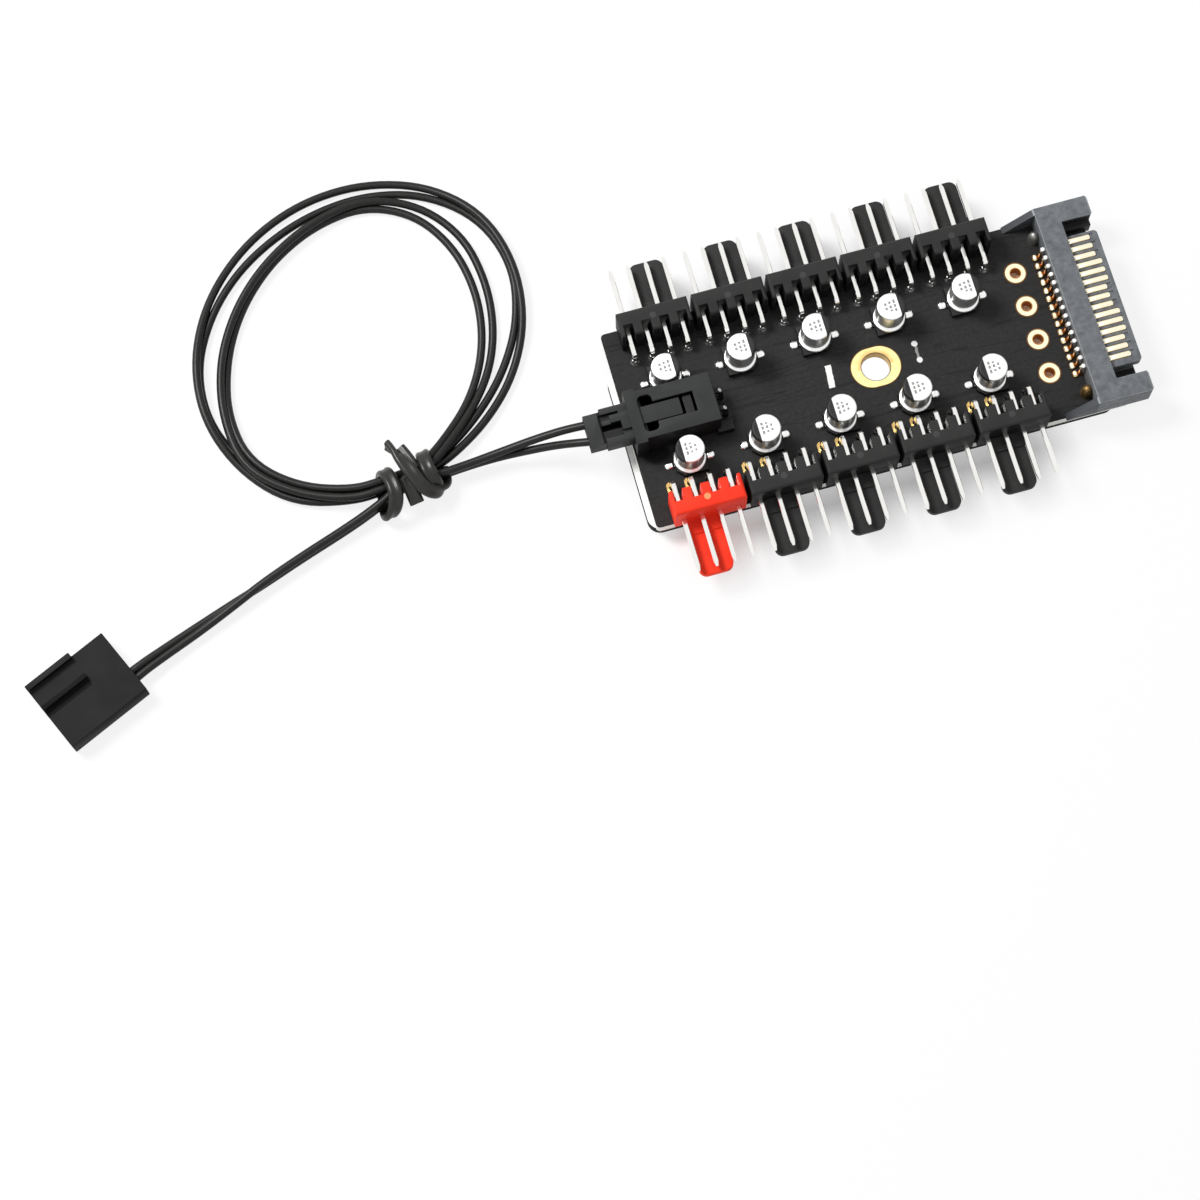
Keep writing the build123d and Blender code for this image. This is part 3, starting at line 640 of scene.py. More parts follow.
# %% [markdown]
# A header pin is a length of square wire, bent once with a small radius and pointed at both ends.
# Sweeping a square with cut corners along an L gives that: the two straight runs, a few steps round the
# bend, and a smaller square at each tip. The legs stand in the board and the free ends lie over the
# header's tab.

# %% Bright metal
tin_plate = clouded(
    "tin_plate", colour(0.80, 0.79, 0.76), colour(0.97, 0.965, 0.95), rough=(0.08, 0.14), grain=0.4,
    stretch=(3.0, 0.25, 1.0), relief=0.004, metallic=1.0,
)

# %% Header pins
PIN = 0.64
PIN_CUT = 0.07
PIN_BEND = 0.55
PIN_LEVEL = 5.9
LEG_REACH, LEG_TAPER, LEG_POINT = 0.9, 0.5, 0.45
TIP_TAPER, TIP_POINT = 0.7, 0.5
BOARD_TOP = 3.6
BOARD_UNDER = 2.0
LEG_Y = 9.5
TIP_Y = 22.4
PIN_PITCH = 2.54
PINS_EACH = 4
BEND_STEPS = 4


def cut_square(size, cut):
    """The eight corners of a square whose corners are cut off, counter-clockwise."""
    half = size / 2
    inner = half - cut
    right_and_top = [(half, -inner), (half, inner), (inner, half), (-inner, half)]
    return right_and_top + [(-x, -y) for x, y in right_and_top]


def loft(rings, closed=False):
    """Joins rings of equally many points into a skin and closes its two ends."""
    form = bmesh.new()
    made = [[form.verts.new(point) for point in ring] for ring in rings]
    count = len(rings[0])
    pairs = list(zip(made, made[1:] + made[:1] if closed else made[1:]))
    for first, second in pairs:
        for i in range(count):
            j = (i + 1) % count
            form.faces.new((first[i], first[j], second[j], second[i]))
    if not closed:
        form.faces.new(list(reversed(made[0])))
        form.faces.new(made[-1])
    bmesh.ops.recalc_face_normals(form, faces=form.faces)
    return form


def pin_form():
    """One pin of a front-row header, its leg at the origin of x and y and its tip towards -y."""
    stations = [((0, 0, BOARD_UNDER - LEG_REACH), 90, LEG_POINT), ((0, 0, BOARD_UNDER - LEG_TAPER), 90, 1.0)]
    for step in range(BEND_STEPS + 1):
        turned = 90 * step / BEND_STEPS
        y = -PIN_BEND * (1 - math.cos(math.radians(turned)))
        z = PIN_LEVEL - PIN_BEND * (1 - math.sin(math.radians(turned)))
        stations.append(((0, y, z), 90 - turned, 1.0))
    reach = TIP_Y - LEG_Y
    stations.append(((0, -reach + TIP_TAPER, PIN_LEVEL), 0, 1.0))
    stations.append(((0, -reach, PIN_LEVEL), 0, TIP_POINT))
    rings = []
    side = Vector((1, 0, 0))
    for spot, pitch, size in stations:
        lean = math.radians(pitch)
        up = Vector((0, math.sin(lean), math.cos(lean)))
        middle = Vector(spot)
        rings.append([middle + side * (a * size) + up * (b * size) for a, b in cut_square(PIN, PIN_CUT)])
    return loft(rings)


pin_spots = []
for header_x in HEADER_XS:
    for i in range(PINS_EACH):
        pin_x = header_x + (i - (PINS_EACH - 1) / 2) * PIN_PITCH
        pin_spots.append((pin_x, -LEG_Y, 0, 0))
        pin_spots.append((pin_x, LEG_Y, 0, 180))
row("header_pins", pin_form(), tin_plate, pin_spots, numbered("fan_header_pins"), 40)

# %% [markdown]
# A small electrolytic capacitor is a drawn aluminium can crimped on to a black base. Turning a profile
# round its axis makes it: a rolled bead at the foot, the crimp above it, straight walls, and a flat top
# inside a rounded rim. The can's skin is brushed and nearly white.

# %% Capacitor cans
can_metal = clouded(
    "can_metal", colour(0.86, 0.86, 0.85), colour(0.97, 0.97, 0.965), rough=(0.30, 0.16), grain=0.5,
    stretch=(1.0, 1.0, 0.15), relief=0.004, metallic=1.0,
)
CAN_RADIUS = 2.0
CAN_TOP = 9.0
BASE_TOP = 4.5
CAP_SHIFT_X = -0.5
CAP_XS = [x + CAP_SHIFT_X for x in HEADER_XS]
BACK_CAP_Y = 5.8
FRONT_CAP_Y = -6.35
CRIMP = (
    (2.02, 0), (2.17, 0.08), (2.23, 0.24), (2.17, 0.4), (1.98, 0.5), (1.80, 0.62), (1.78, 0.78), (1.90, 0.94),
    (1.98, 1.1), (CAN_RADIUS, 1.3),
)
RIM = ((CAN_RADIUS, -0.32), (1.97, -0.17), (1.89, -0.06), (1.76, -0.01), (1.62, -0.03), (0, -0.03))


def lathe(profile, steps=40, base=0.0):
    """Turns (radius, height above the base) points round the z axis. A radius of 0 is a closed pole."""
    form = bmesh.new()
    rings = []
    for radius, height in profile:
        if radius == 0:
            rings.append([form.verts.new((0, 0, base + height))])
            continue
        angles = [2 * math.pi * i / steps for i in range(steps)]
        circle = [(radius * math.cos(a), radius * math.sin(a), base + height) for a in angles]
        rings.append([form.verts.new(spot) for spot in circle])
    for lower, upper in zip(rings, rings[1:]):
        for i in range(steps):
            j = (i + 1) % steps
            corners = [lower[i % len(lower)], lower[j % len(lower)]]
            corners += [upper[j % len(upper)], upper[i % len(upper)]]
            form.faces.new(list(dict.fromkeys(corners)))
    bmesh.ops.recalc_face_normals(form, faces=form.faces)
    return form


can_profile = [(0, BASE_TOP)]
can_profile += [(radius, BASE_TOP + rise) for radius, rise in CRIMP]
can_profile += [(radius, CAN_TOP + rise) for radius, rise in RIM]
can_spots = [(x, FRONT_CAP_Y, 0, 0) for x in CAP_XS] + [(x, BACK_CAP_Y, 0, 180) for x in CAP_XS]
row("capacitor_cans", lathe(can_profile), can_metal, can_spots, numbered("capacitor_can"))

# %% [markdown]
# The can's top has a black printed segment over its negative lead: to the left in the front row and to
# the right in the back row. The ink runs over the rim, so it is a thin shell turned on the rim's own
# profile and cut off by a plane, which keeps its edge crisp from any side. Short plain dashes stand for
# the value print.

# %% Capacitor print
print_ink = clouded(
    "print_ink", grey(0.007), grey(0.016), rough=(0.42, 0.2), grain=0.6, specular_ior_level=0.35
)
INK_CHORD = -1.06
INK_OUTSIDE = (
    (0, -0.012), (1.62, -0.012), (1.77, 0.006), (1.90, -0.045), (1.985, -0.16), (2.016, -0.32), (2.016, -0.8),
)
INK_INSIDE = ((1.95, -0.8), (1.90, -0.3), (1.7, -0.12), (0, -0.12))


def ink_form():
    """The segment of a shell over the can's top and rim that lies beyond the chord, on the -x side."""
    form = lathe(INK_OUTSIDE + INK_INSIDE, 48, CAN_TOP)
    whole = [*form.verts, *form.edges, *form.faces]
    bmesh.ops.bisect_plane(form, geom=whole, plane_co=(INK_CHORD, 0, 0), plane_no=(1, 0, 0), clear_outer=True)
    bmesh.ops.holes_fill(form, edges=[edge for edge in form.edges if edge.is_boundary])
    bmesh.ops.recalc_face_normals(form, faces=form.faces)
    return form


row("capacitor_ink", ink_form(), print_ink, can_spots)

# %% Capacitor dashes
DASH_LEVEL = CAN_TOP - 0.035
DASH_HEIGHT = 0.012
DASH_HALF = 0.15
DASHES = (
    (-0.50, (-0.85, -0.35), (-0.15, 0.25), (0.45, 0.85)),
    (0.12, (-0.70, -0.40), (-0.10, 0.30), (0.50, 0.75)),
    (0.74, (-0.60, -0.25), (0.05, 0.40)),
)


def dash_form():
    form = bmesh.new()
    for line_x, *runs in DASHES:
        x0, x1 = line_x - DASH_HALF, line_x + DASH_HALF
        for y0, y1 in runs:
            plate(form, [(x0, y0), (x1, y0), (x1, y1), (x0, y1)], DASH_LEVEL, DASH_LEVEL + DASH_HEIGHT)
    return form


dash_ink = clouded(
    "dash_ink", grey(0.14), colour(0.45, 0.45, 0.44), rough=(0.5, 0.2), grain=0.22, specular_ior_level=0.3
)
row("capacitor_dashes", dash_form(), dash_ink, can_spots)

# %% [markdown]
# The base is a square of black plastic with two cut corners. The solder at either side is a bright,
# rounded blob over a flat lead, made as a flattened dome on a short tab.

# %% Capacitor bases and solder
BASE_EDGE = 0.10
moulding("capacitor_bases", black_nylon, numbered("capacitor_base"), BASE_EDGE)

solder = clouded(
    "solder", colour(0.84, 0.84, 0.83), colour(0.98, 0.98, 0.97), rough=(0.12, 0.2), grain=0.5,
    detail=3.0, relief=0.02, relief_grain=0.4, metallic=1.0,
)
LEAD_X = 2.85
LEAD_START_X = 1.6
LEAD_HALF = 0.36
LEAD_THICKNESS = 0.2
BLOB_HALF_LENGTH, BLOB_HALF_WIDTH = 0.74, 0.60
BLOB_LEVELS = ((1.0, -0.02), (1.0, 0.12), (0.88, 0.3), (0.62, 0.42), (0.3, 0.47))
BLOB_STEPS = 20
SQUARENESS = 3


def solder_form():
    """A tab from the base outwards along +x with a squarish blob of solder over its end."""
    rings = []
    for size, rise in BLOB_LEVELS:
        ring = []
        for i in range(BLOB_STEPS):
            angle = math.radians(360 / BLOB_STEPS * i)
            along, across = math.cos(angle), math.sin(angle)
            reach = size / (abs(along) ** SQUARENESS + abs(across) ** SQUARENESS) ** (1 / SQUARENESS)
            spot = (LEAD_X + BLOB_HALF_LENGTH * reach * along, BLOB_HALF_WIDTH * reach * across)
            ring.append((*spot, BOARD_TOP + rise))
        rings.append(ring)
    form = loft(rings)
    tab = [(LEAD_START_X, -LEAD_HALF), (LEAD_X, -LEAD_HALF), (LEAD_X, LEAD_HALF), (LEAD_START_X, LEAD_HALF)]
    plate(form, tab, BOARD_TOP, BOARD_TOP + LEAD_THICKNESS)
    return form


solder_spots = [(x, y, 0, turned) for x, y, _, _ in can_spots for turned in (0, 180)]
row("capacitor_solder", solder_form(), solder, solder_spots, ["capacitor_leads"])

# %% [markdown]
# The board itself keeps its CAD solid. Its finish is painted by rules: black solder mask with faint
# ridges where copper tracks run under it, a few white printed bars, a dark round patch beside the lead
# socket, and bare pale laminate on the cut edges. The side faces are told from the top by the normal,
# and the screw hole's wall by its distance from the hole's middle.

# %% Board finish
HOLE = (0.3, -0.3)
HOLE_WALL = 2.6
DARK_PATCH_AT = (-32.2, -4.1)
DARK_PATCH_REACH = 1.9
WIDE_BAR = ((-6.16, 0.06), 3.3, 0.85, 0.3)
THIN_BAR = ((6.40, 0.30), 2.4, 0.4, 0.13)
DOT_X, DOT_YS, DOT_RADIUS = 6.4, (-0.95, 1.5), 0.42
board_mask = clouded(
    "board_mask", grey(0.018), grey(0.036), rough=(0.36, 0.14), grain=0.5, specular_ior_level=0.1
)


def bar(x, y, middle, length, width, lean):
    """1 inside a printed bar along y that leans by so many millimetres in x over its length."""
    across = abs(x - middle[0] - (y - middle[1]) * (lean / length)) < width / 2
    along = abs(y - middle[1]) < length / 2
    return across * along


x, y, _ = board_mask.place()
weave = board_mask.noise(0.5)
# A dark round patch is painted beside the lead socket.
from_dark_patch = ((x - DARK_PATCH_AT[0]) * 0.85).apart(y - DARK_PATCH_AT[1]) + (weave - 0.5) * 0.3
board_mask.paint(((DARK_PATCH_REACH - from_dark_patch) * 1.6).larger(0.0), grey(0.004))
tracks = abs(board_mask.noise(1.5, 1.0, stretch=(0.05, 1.0, 1.0)) - 0.5) < 0.012
board_mask.paint(tracks * 0.4, SHADE_AND_TRACK_BLACK)
rough_x = x + (weave - 0.5) * 0.3
silk = bar(rough_x, y, *WIDE_BAR).larger(bar(rough_x, y, *THIN_BAR) * 0.3)
for dot_y in DOT_YS:
    silk = silk.larger((rough_x - DOT_X).apart(y - dot_y) < DOT_RADIUS)
board_mask.paint(silk, colour(0.88, 0.88, 0.86))
laminate = board_mask.mix(weave, colour(0.84, 0.84, 0.79), colour(0.94, 0.94, 0.90))
in_hole = (x - HOLE[0]).apart(y - HOLE[1]) < HOLE_WALL
edge_colour = board_mask.mix(in_hole, laminate, colour(0.90, 0.66, 0.30))
board_mask.paint(abs(board_mask.facing()) < UPRIGHT, edge_colour)
board_mask.bump(weave * 0.3 - tracks * 0.5, 0.010)


def dress(node_name, finish):
    """Gives a CAD node that is shown as it is its finish."""
    node = hub_nodes[node_name]
    node.data.materials.clear()
    node.data.materials.append(finish.material)
    print(node_name, "has", finish.material.name)


dress("circuit_board", board_mask)

# %% [markdown]
# The pad is closed-cell foam, matt and nearly black on its cut sides, with a pale adhesive skin on top
# that shows where the pad stands out past the board's end.

# %% Foam pad
CELLS_PER_METRE = 2600.0
foam = Finish("foam", specular_ior_level=0.2)
foam_place = foam.node("ShaderNodeTexCoord", output="Object")
foam_cells = foam.node("ShaderNodeTexVoronoi", sockets={"Vector": foam_place, "Scale": CELLS_PER_METRE})
foam_skin = foam.mix(foam_cells, colour(0.95, 0.95, 0.94), colour(0.88, 0.88, 0.87))
foam.set(base_color=foam.mix(foam_cells, grey(0.006), grey(0.020)), roughness=0.75 + foam_cells * 0.2)
foam.paint(foam.facing() > UPRIGHT, foam_skin)
foam.bump(foam_cells, 0.08)
dress("foam_pad", foam)

# %% [markdown]
# The bare copper on the board is plated with gold: a wide oval round the screw hole and a ring round
# each test hole. Their outer rims are browner, where the plating is thin, and so is the inside of each
# test hole. The lands under the inlet's contacts are dark. Round the pin legs and the socket's legs the
# land is painted nearly black, all but a crescent beside the first two pins of each front header.

# %% Gold lands
TEST_X = 22.95
TEST_PITCH = 5.08
TEST_REACH, TEST_RIM, TEST_HOLE = 1.8, 1.42, 0.82
LAND_HALF_LINE = 0.6
LAND_REACH, LAND_RIM = 3.3, 2.84
HOLE_SHADE = 2.9
CONTACT_LANDS_X = 25.2
LEGS_END_X = 21.5
LEG_LAND = 1.1
SOCKET_LEGS_X, SOCKET_LEGS_HALF = -21.56, 2.6
CRESCENTS, CRESCENT_HALF = (-4.35, -1.81), 0.26
BROWN = colour(0.19, 0.09, 0.03)
gold = clouded(
    "gold", colour(0.97, 0.83, 0.34), colour(1.0, 0.92, 0.46), rough=(0.30, 0.2), grain=0.8, detail=3.0,
    relief=0.006, specular_ior_level=0.2,
)
x, y, _ = gold.place()
from_hole = (x - HOLE[0]).apart(y - HOLE[1])
from_land_line = (abs(x - HOLE[0]) - LAND_HALF_LINE).larger(0.0).apart(y - HOLE[1])
screw_land = from_land_line < LAND_REACH
hole_shade = ((HOLE_SHADE - from_hole) * 0.9).larger(0.0) * (y > HOLE[1])
gold.paint(screw_land * hole_shade, colour(0.80, 0.42, 0.14))
from_test = (x - TEST_X).apart(y.folded(TEST_PITCH, TEST_PITCH / 2))
test_land = from_test < TEST_REACH
gold.paint(test_land, colour(1.0, 0.93, 0.66))
thin_plating = (screw_land * (from_land_line > LAND_RIM)).larger(test_land * (from_test > TEST_RIM))
gold.paint(thin_plating, BROWN)
gold.paint(test_land * (from_test < TEST_HOLE), colour(0.50, 0.21, 0.05))
gold.paint(x > CONTACT_LANDS_X, colour(0.06, 0.03, 0.012))
leg_row = (abs(abs(y) - LEG_Y) < LEG_LAND) * (x < LEGS_END_X)
gold.paint(leg_row * 0.8, colour(0.52, 0.29, 0.09))
along_header = x.folded(HEADER_PITCH, FIRST_HEADER_X)
first_pin, second_pin = (abs(along_header - crescent_x) < CRESCENT_HALF for crescent_x in CRESCENTS)
crescent = first_pin.larger(second_pin) * (y < 0.0)
socket_legs = (abs(x - SOCKET_LEGS_X) < LEG_LAND) * (abs(y) < SOCKET_LEGS_HALF)
# The lands round the pin legs and the socket's legs are painted nearly black, all but the crescents.
blacked_out = (leg_row * (1.0 - crescent)).larger(socket_legs)
gold.paint(blacked_out, grey(0.016))
gold.set(metallic=1.0 - blacked_out)
dress("gold_lands", gold)

# %% [markdown]
# Small solder cones stand round the legs of the back headers, where the camera looks into the row. They
# are bright but steep, so they mirror the dark housings and show only a glint each.

# %% Leg solder
CONE = ((0, 0), (0.66, 0), (0.60, 0.1), (0.46, 0.3), (0.37, 0.62), (0, 0.64))
back_legs = [spot for spot in pin_spots if spot[1] > 0]
row("leg_solder", lathe(CONE, 16, BOARD_TOP), solder, back_legs)

# %% [markdown]
# Each of the inlet's fifteen contacts is one strip of brass with a gold skin: a flat finger on the
# tongue, then a bend behind the beam and a leg down to a foot on the board. The finger is a rounded
# plate and the rest is a sweep whose width changes on the way. Two lengths alternate in threes, so that
# ground and power meet in the right order.

# %% Contact finish
CONTACT_PITCH = 1.27
CONTACT_MIDDLE = 0.1
CONTACT_COUNT = 15
FINGER_FROM_X, BEHIND_BEAM_X, FOOT_X = 30.0, 28.0, 26.42
BEND_ABOVE = 6.15
DARK_EDGE_FROM = 0.335
contact_gold = clouded(
    "contact_gold", colour(0.98, 0.90, 0.62), colour(1.0, 0.97, 0.82), rough=(0.26, 0.16), grain=0.5,
    relief=0.004, metallic=1.0,
)
x, y, z = contact_gold.place()
# The fingers' long edges are painted darker brown.
dark_finger_edges = (abs(y.folded(CONTACT_PITCH, CONTACT_MIDDLE)) > DARK_EDGE_FROM) * (x > FINGER_FROM_X)
contact_gold.paint(dark_finger_edges, colour(0.45, 0.28, 0.08))
# The legs behind the beam get a painted shade.
shaded_leg = (x < BEHIND_BEAM_X) * (z < BEND_ABOVE) * (x > FOOT_X)
contact_gold.paint(shaded_leg, colour(0.34, 0.14, 0.04))
# The top of each bend gets a painted highlight.
bend_highlight = (x < BEHIND_BEAM_X) * (z > BEND_ABOVE)
contact_gold.paint(bend_highlight, colour(0.97, 0.96, 0.93))
foot_share = (contact_gold.noise(0.5) - 0.27) * 3.0
foot_gold = contact_gold.mix(foot_share, colour(0.50, 0.26, 0.07), colour(1.0, 0.92, 0.66))
contact_gold.paint(x < FOOT_X, foot_gold)

# %% Inlet contacts
FINGER_START = 30.42
FINGER_HALF = 0.41
FINGER_LOW, FINGER_SHOULDER, FINGER_TOP = 6.45, 6.66, 6.72
FINGER_BEVEL = 0.05
LOW_CORNERS, HIGH_CORNERS = (0.12, 0.34), (0.1, 0.3)
FINGER_ENDS = (("short", 33.8), ("long", 34.35))
IN_GROUP = 3
CORNER_STEPS = 4


def rounded_plate(x0, x1, half, start_corner, end_corner):
    """The outline of a plate along x, counter-clockwise, with its own corner radius at either end."""
    outline = []
    for corner_x, corner_y, radius, start in (
        (x1, -half, end_corner, -90),
        (x1, half, end_corner, 0),
        (x0, half, start_corner, 90),
        (x0, -half, start_corner, 180),
    ):
        middle_x = corner_x - math.copysign(radius, corner_x - (x0 + x1) / 2)
        middle_y = corner_y - math.copysign(radius, corner_y)
        for step in range(CORNER_STEPS + 1):
            angle = math.radians(start + 90 / CORNER_STEPS * step)
            outline.append((middle_x + radius * math.cos(angle), middle_y + radius * math.sin(angle)))
    return outline


def joined(forms):
    """Puts several forms into one."""
    whole = bmesh.new()
    for form in forms:
        part = bpy.data.meshes.new("part")
        form.to_mesh(part)
        form.free()
        whole.from_mesh(part)
        bpy.data.meshes.remove(part)
    return whole


def finger_form(end):
    low = rounded_plate(FINGER_START, end, FINGER_HALF, *LOW_CORNERS)
    start, half = FINGER_START + FINGER_BEVEL, FINGER_HALF - FINGER_BEVEL
    high = rounded_plate(start, end - FINGER_BEVEL, half, *HIGH_CORNERS)
    levels = ((low, FINGER_LOW), (low, FINGER_SHOULDER), (high, FINGER_TOP))
    return loft([[(x, y, z) for x, y in outline] for outline, z in levels])


def leg_form():
    """The contact behind the beam: (x, z, lean of the strip's upper side, half width, half thickness)."""
    stations = [
        (27.7, 6.5, 0, 0.22, 0.10),
        (27.3, 6.52, 0, 0.24, 0.14),
        (27.0, 6.5, 20, 0.29, 0.20),
        (26.76, 6.32, 55, 0.27, 0.18),
        (26.68, 6.0, 85, 0.24, 0.11),
        (26.72, 5.0, 92, 0.24, 0.10),
        (26.76, 4.2, 92, 0.26, 0.10),
        (26.66, 3.92, 50, 0.26, 0.11),
        (26.45, 3.84, 20, 0.38, 0.17),
        (26.15, 3.80, 0, 0.44, 0.19),
        (25.88, 3.72, -25, 0.32, 0.10),
    ]
    rings = []
    across = Vector((0, 1, 0))
    for x, z, lean, half_width, half_thickness in stations:
        up = Vector((-math.sin(math.radians(lean)), 0, math.cos(math.radians(lean))))
        middle = Vector((x, 0, z))
        corners = [(a * half_width, b * half_thickness) for a, b in cut_square(2, 0.6)]
        rings.append([middle + across * a + up * b for a, b in corners])
    return loft(rings)


contact_ys = [CONTACT_MIDDLE + (i - (CONTACT_COUNT - 1) / 2) * CONTACT_PITCH for i in range(CONTACT_COUNT)]
for wanted, (length_name, end) in enumerate(FINGER_ENDS):
    form = joined([leg_form(), finger_form(end)])
    spots = [(0, y, 0, 0) for i, y in enumerate(contact_ys) if i // IN_GROUP % 2 == wanted]
    row(f"inlet_contacts_{length_name}", form, contact_gold, spots, ["inlet_contacts"], 50)

# %% [markdown]
# The straps that hold the inlet down end in rounded lumps of metal, a grey one at the back and a dull
# brass one in front. Like the cans, they are turned profiles.

# %% Strap ends
STRAP_X = 26.75
STRAP_YS = (11.65, -11.85)
STRAP_DOME = ((0, 0), (0.78, 0), (0.78, 1.1), (0.70, 1.7), (0.50, 2.15), (0.25, 2.35), (0, 2.4))
strap_brass = clouded(
    "strap_brass", colour(0.10, 0.05, 0.02), colour(0.50, 0.33, 0.13), rough=(0.4, 0.2), grain=0.7,
    detail=3.0, metallic=1.0,
)
_, y, _ = strap_brass.place()
strap_grey = strap_brass.mix(strap_brass.noise(0.7, 3.0), grey(0.18), colour(0.50, 0.50, 0.48))
strap_brass.paint(y > 0.0, strap_grey)
strap_spots = [(STRAP_X, y, 0, 0) for y in STRAP_YS]
strap_form = lathe(STRAP_DOME, 24, BOARD_TOP)
row("inlet_strap_ends", strap_form, strap_brass, strap_spots, ["inlet_straps"], 50)

# %% [markdown]
# The metal that shows least keeps its CAD solid, with a painted shade for its finish. The terminals deep
# inside the plugs are almost dark, and the socket's pins are black where the shell shades them, with a
# painted glint on each bend.

# %% Shaded metal
GLINT_AT = (-21.66, 1.3)
GLINT_RADIUS = 0.26
shaded_tin = clouded(
    "shaded_tin", grey(0.006), grey(0.020), rough=(0.35, 0.2), grain=0.4, specular_ior_level=0.2
)
x, y, _ = shaded_tin.place()
bend_glint = (x - GLINT_AT[0]).apart(abs(y) - GLINT_AT[1]) < GLINT_RADIUS
shaded_tin.paint(bend_glint, colour(0.80, 0.80, 0.78))
for node_name in ("lead_socket_pins", "lead_plug_terminals", "fan_connector_terminals"):
    dress(node_name, shaded_tin)

# %% [markdown]
# The twist tie is a black plastic strip with two round ridges and a thin web between them. It passes
# round the bundle in two loops, and its ends are folded and twisted over the top. Each length is a
# twin-ridged profile swept along a smooth line. A direction across the strip is given at every point, so that
# the fold and the twist can be placed.

# %% Twist tie strip
tie_plastic = clouded(
    "tie_plastic", colour(0.010, 0.010, 0.009), colour(0.026, 0.025, 0.023), rough=(0.26, 0.14),
    grain=0.9, relief=0.012, relief_grain=0.5, specular_ior_level=0.34,
)
RIDGE = 0.5
RIDGE_APART = 0.52
RIDGE_STEP = 25
RIDGE_POINTS = 11


def twin_ridge():
    """The strip's profile: most of two circles side by side, joined by a web."""
    outline = []
    for side_sign, start in ((1, -125), (-1, 55)):
        for i in range(RIDGE_POINTS):
            angle = math.radians(start + RIDGE_STEP * i)
            outline.append((side_sign * RIDGE_APART + RIDGE * math.cos(angle), RIDGE * math.sin(angle)))
    return outline


def line_points(points, closed=False):
    """Points along the smooth line through those control points, in millimetres."""
    curve = smooth_line("tie_line", points, closed)
    guide = show("tie_line", curve)
    depsgraph = bpy.context.evaluated_depsgraph_get()
    mesh = bpy.data.meshes.new_from_object(guide.evaluated_get(depsgraph))
    along = [vertex.co / MM for vertex in mesh.vertices]
    bpy.data.objects.remove(guide)
    bpy.data.curves.remove(curve)
    bpy.data.meshes.remove(mesh)
    return along


def strip(stations, closed=False):
    """A length of the tie through stations of (x, y, z, across x, across y, across z)."""
    along = line_points([s[:3] for s in stations], closed)
    count = len(along)
    rings = []
    for i, middle in enumerate(along):
        before = along[i - 1] if closed or i else middle
        after = along[(i + 1) % count] if closed or i < count - 1 else middle
        ahead = (after - before).normalized()
        share = i / count * len(stations) if closed else i / (count - 1) * (len(stations) - 1)
        first = int(share) % len(stations)
        second = (first + 1) % len(stations) if closed else min(first + 1, len(stations) - 1)
        across = Vector(stations[first][3:]).lerp(Vector(stations[second][3:]), share - int(share))
        across = (across - ahead * across.dot(ahead)).normalized()
        up = ahead.cross(across)
        rings.append([middle + across * a + up * b for a, b in twin_ridge()])
    return loft(rings, closed)


# %% Twist tie
LOOP_ACROSS = (0.97, 0.20, 0.0)
left_loop = [
    (-68.80, 3.95, 2.1), (-68.35, 3.0, 4.2), (-67.85, 1.1, 4.8), (-67.80, -0.7, 4.7),
    (-68.40, -2.1, 3.6), (-69.40, -2.6, 2.0), (-69.75, -1.6, 0.56), (-69.50, 0.3, 0.5),
    (-69.30, 2.0, 0.5), (-69.05, 3.6, 0.65),
]
right_loop = [
    (-62.95, 5.0, 2.3), (-62.95, 4.0, 4.4), (-62.85, 2.2, 5.1), (-62.55, 0.8, 4.9), (-62.20, -0.2, 3.6),
    (-62.05, -0.5, 2.0), (-62.10, 0.2, 0.6), (-62.40, 2.0, 0.5), (-62.70, 4.0, 0.5), (-62.90, 4.6, 0.7),
]
long_end = [
    (-60.9, 2.6, 0.7, 0.9, -0.3, 0.1), (-60.8, 1.2, 1.0, 0.9, 0.2, 0.1),
    (-61.1, -0.3, 1.7, 0.8, 0.4, 0.3), (-62.1, -1.2, 2.8, 0.5, 0.7, 0.4),
    (-63.3, -1.1, 4.2, 0.4, 0.8, 0.3), (-64.2, -0.2, 5.1, 0.7, 0.6, 0.0),
    (-64.9, 1.4, 5.5, 0.9, 0.4, 0.0), (-65.6, 3.1, 5.5, 0.9, 0.3, -0.2),
    (-66.2, 4.6, 5.1, 0.7, 0.2, -0.7), (-66.7, 5.7, 4.8, 0.2, 0.1, -1.0),
    (-67.3, 6.7, 4.5, -0.3, 0.0, -0.9),
]
second_end = [
    (-64.6, 2.4, 4.0, 0.9, 0.3, 0.2), (-65.1, 4.2, 4.1, 0.9, 0.35, 0.1),
    (-65.9, 5.9, 3.9, 0.9, 0.35, 0.1),
]
lower_end = [
    (-65.9, 1.6, 3.9, 0.93, 0.3, 0.1), (-65.65, -0.1, 3.6, 0.93, 0.2, 0.1),
    (-65.35, -1.9, 2.7, 0.93, 0.15, 0.1),
]
tie_strips = [strip([(*spot, *LOOP_ACROSS) for spot in loop], True) for loop in (left_loop, right_loop)]
tie_strips += [strip(end) for end in (long_end, second_end, lower_end)]
twist_tie = finish_mesh(joined(tie_strips), "twist_tie_strip", tie_plastic, 50)
declare(twist_tie, ["twist_tie"])
print("tie has", len(twist_tie.data.polygons), "faces")

# %% [markdown]
# The wires are fixed to the frame's root, and the CAD's wire tubes and its coil are hidden. Both wires
# leave the plug's back end and reach the fan connector, and together they stand for those tubes and the coil.

# %% Cords
declare(wire_a, ["lead_wire_a", "tail_wire_a", "wire_coil"])
declare(wire_b, ["lead_wire_b", "tail_wire_b", "wire_coil"])

# %% [markdown]
# The hub lies on a white table. The table is white for the camera and in reflections, yet still takes
# part of its shade from the lamps, so that the soft shadow under the hub stays. That share is larger
# between the headers' tabs, where the shadow is strongest, and nothing under the screw hole, which shows
# the table as plain white.

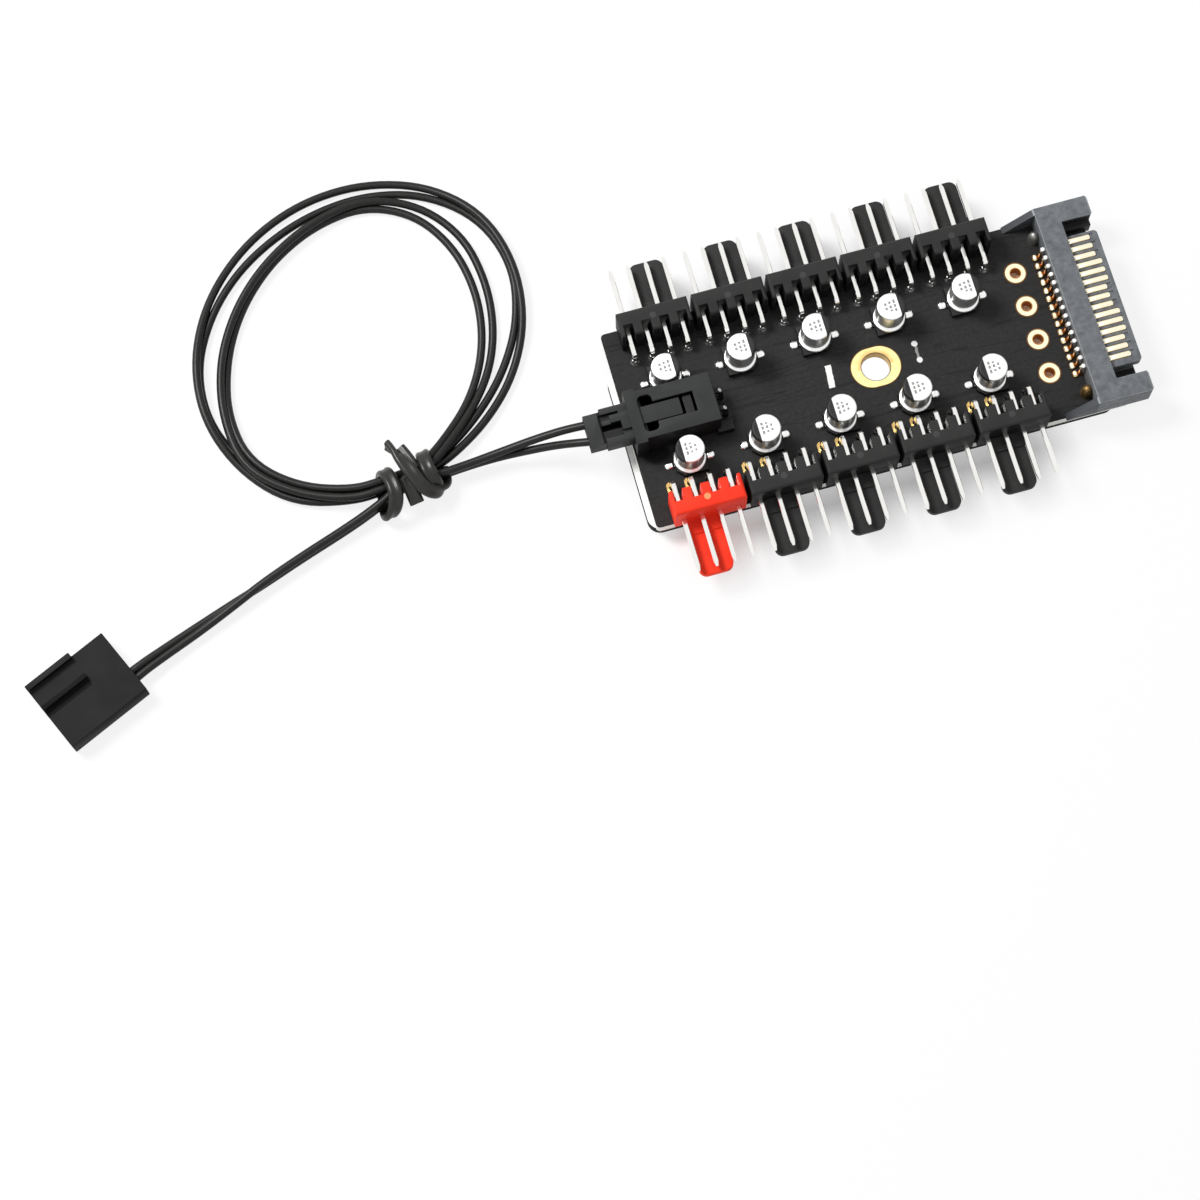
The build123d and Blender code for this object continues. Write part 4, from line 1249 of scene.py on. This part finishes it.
# %% Floor
FLOOR_HALF = 1.5
FLOOR_DROP = 0.0001
GLOW_SHARE = 0.84
TAB_SHADE = 0.56
TABS_Y, TABS_REACH = 16.5, 7.5
TABS_MIDDLE_X, TABS_HALF, TABS_FADE = -6.2, 25.0, 6.0
WHITE_ROUND_HOLE = 6.0
floor_mesh = bpy.data.meshes.new("floor")
corner_signs = ((-1, -1), (1, -1), (1, 1), (-1, 1))
floor_corners = [(across * FLOOR_HALF, along * FLOOR_HALF, -FLOOR_DROP) for across, along in corner_signs]
floor_mesh.from_pydata(floor_corners, [], [(0, 1, 2, 3)])
table_white = Finish("table_white", base_color=grey(0.93), roughness=0.85, specular_ior_level=0.1)
path_outputs = table_white.node("ShaderNodeLightPath").socket.node.outputs
seen = Reading(table_white, path_outputs["Is Camera Ray"])
for kind in ("Is Glossy Ray", "Is Transmission Ray"):
    seen = seen.larger(Reading(table_white, path_outputs[kind]))
glow = table_white.node("ShaderNodeEmission", sockets={"Color": grey(1), "Strength": 1.0})
surface = Reading(table_white, table_white.shader.outputs[0])
x, y, _ = table_white.place()
by_tabs = (1.0 - abs(abs(y) - TABS_Y) / TABS_REACH).larger(0.0)
by_tabs = by_tabs * (1.0 - (abs(x - TABS_MIDDLE_X) - TABS_HALF).larger(0.0) / TABS_FADE).larger(0.0)
under_hole = (x - HOLE[0]).apart(y - HOLE[1]) < WHITE_ROUND_HOLE
share = (GLOW_SHARE - by_tabs * TAB_SHADE).larger(under_hole)
blended = table_white.node("ShaderNodeMixShader", sockets={0: seen * share, 1: surface, 2: glow})
output = next(n for n in table_white.tree.nodes if n.type == "OUTPUT_MATERIAL")
table_white.tree.links.new(blended.socket, output.inputs["Surface"])
floor_mesh.materials.append(table_white.material)
floor = show("floor", floor_mesh)

# %% [markdown]
# One round lamp from the upper left gives the shadow its direction, and the world fills in the rest. The
# world is plain white where it is seen or mirrored, and weaker where it only lights the hub, so that
# dark plastics stay dark.

# %% Light
WORLD_FILL, WORLD_SEEN = 0.46, 1.0
LAMP_AT = (-0.30, 0.22, 0.48)
LAMP_TARGET = (-0.02, 0.0, 0.0)
world = bpy.data.worlds.new("studio")
scene.world = world
world.use_nodes = True
sky_tree = world.node_tree
sky = sky_tree.nodes["Background"]
sky.inputs["Color"].default_value = grey(1.0)
sky_path = sky_tree.nodes.new("ShaderNodeLightPath")
sky_seen = sky_tree.nodes.new("ShaderNodeMath")
sky_seen.operation = "MAXIMUM"
sky_strength = sky_tree.nodes.new("ShaderNodeMapRange")
sky_strength.inputs["To Min"].default_value = WORLD_FILL
sky_strength.inputs["To Max"].default_value = WORLD_SEEN
sky_tree.links.new(sky_path.outputs["Is Camera Ray"], sky_seen.inputs[0])
sky_tree.links.new(sky_path.outputs["Is Glossy Ray"], sky_seen.inputs[1])
sky_tree.links.new(sky_seen.outputs[0], sky_strength.inputs["Value"])
sky_tree.links.new(sky_strength.outputs["Result"], sky.inputs["Strength"])

lamp_data = bpy.data.lights.new("window", "AREA")
lamp_data.shape = "DISK"
lamp_data.size = 0.22
lamp_data.energy = 3.2
lamp = bpy.data.objects.new("window", lamp_data)
lamp.location = LAMP_AT
lamp.rotation_euler = (Vector(LAMP_TARGET) - lamp.location).to_track_quat("-Z", "Y").to_euler()
scene.collection.objects.link(lamp)
scene.view_settings.view_transform = "Standard"
print("lamp at", LAMP_AT)
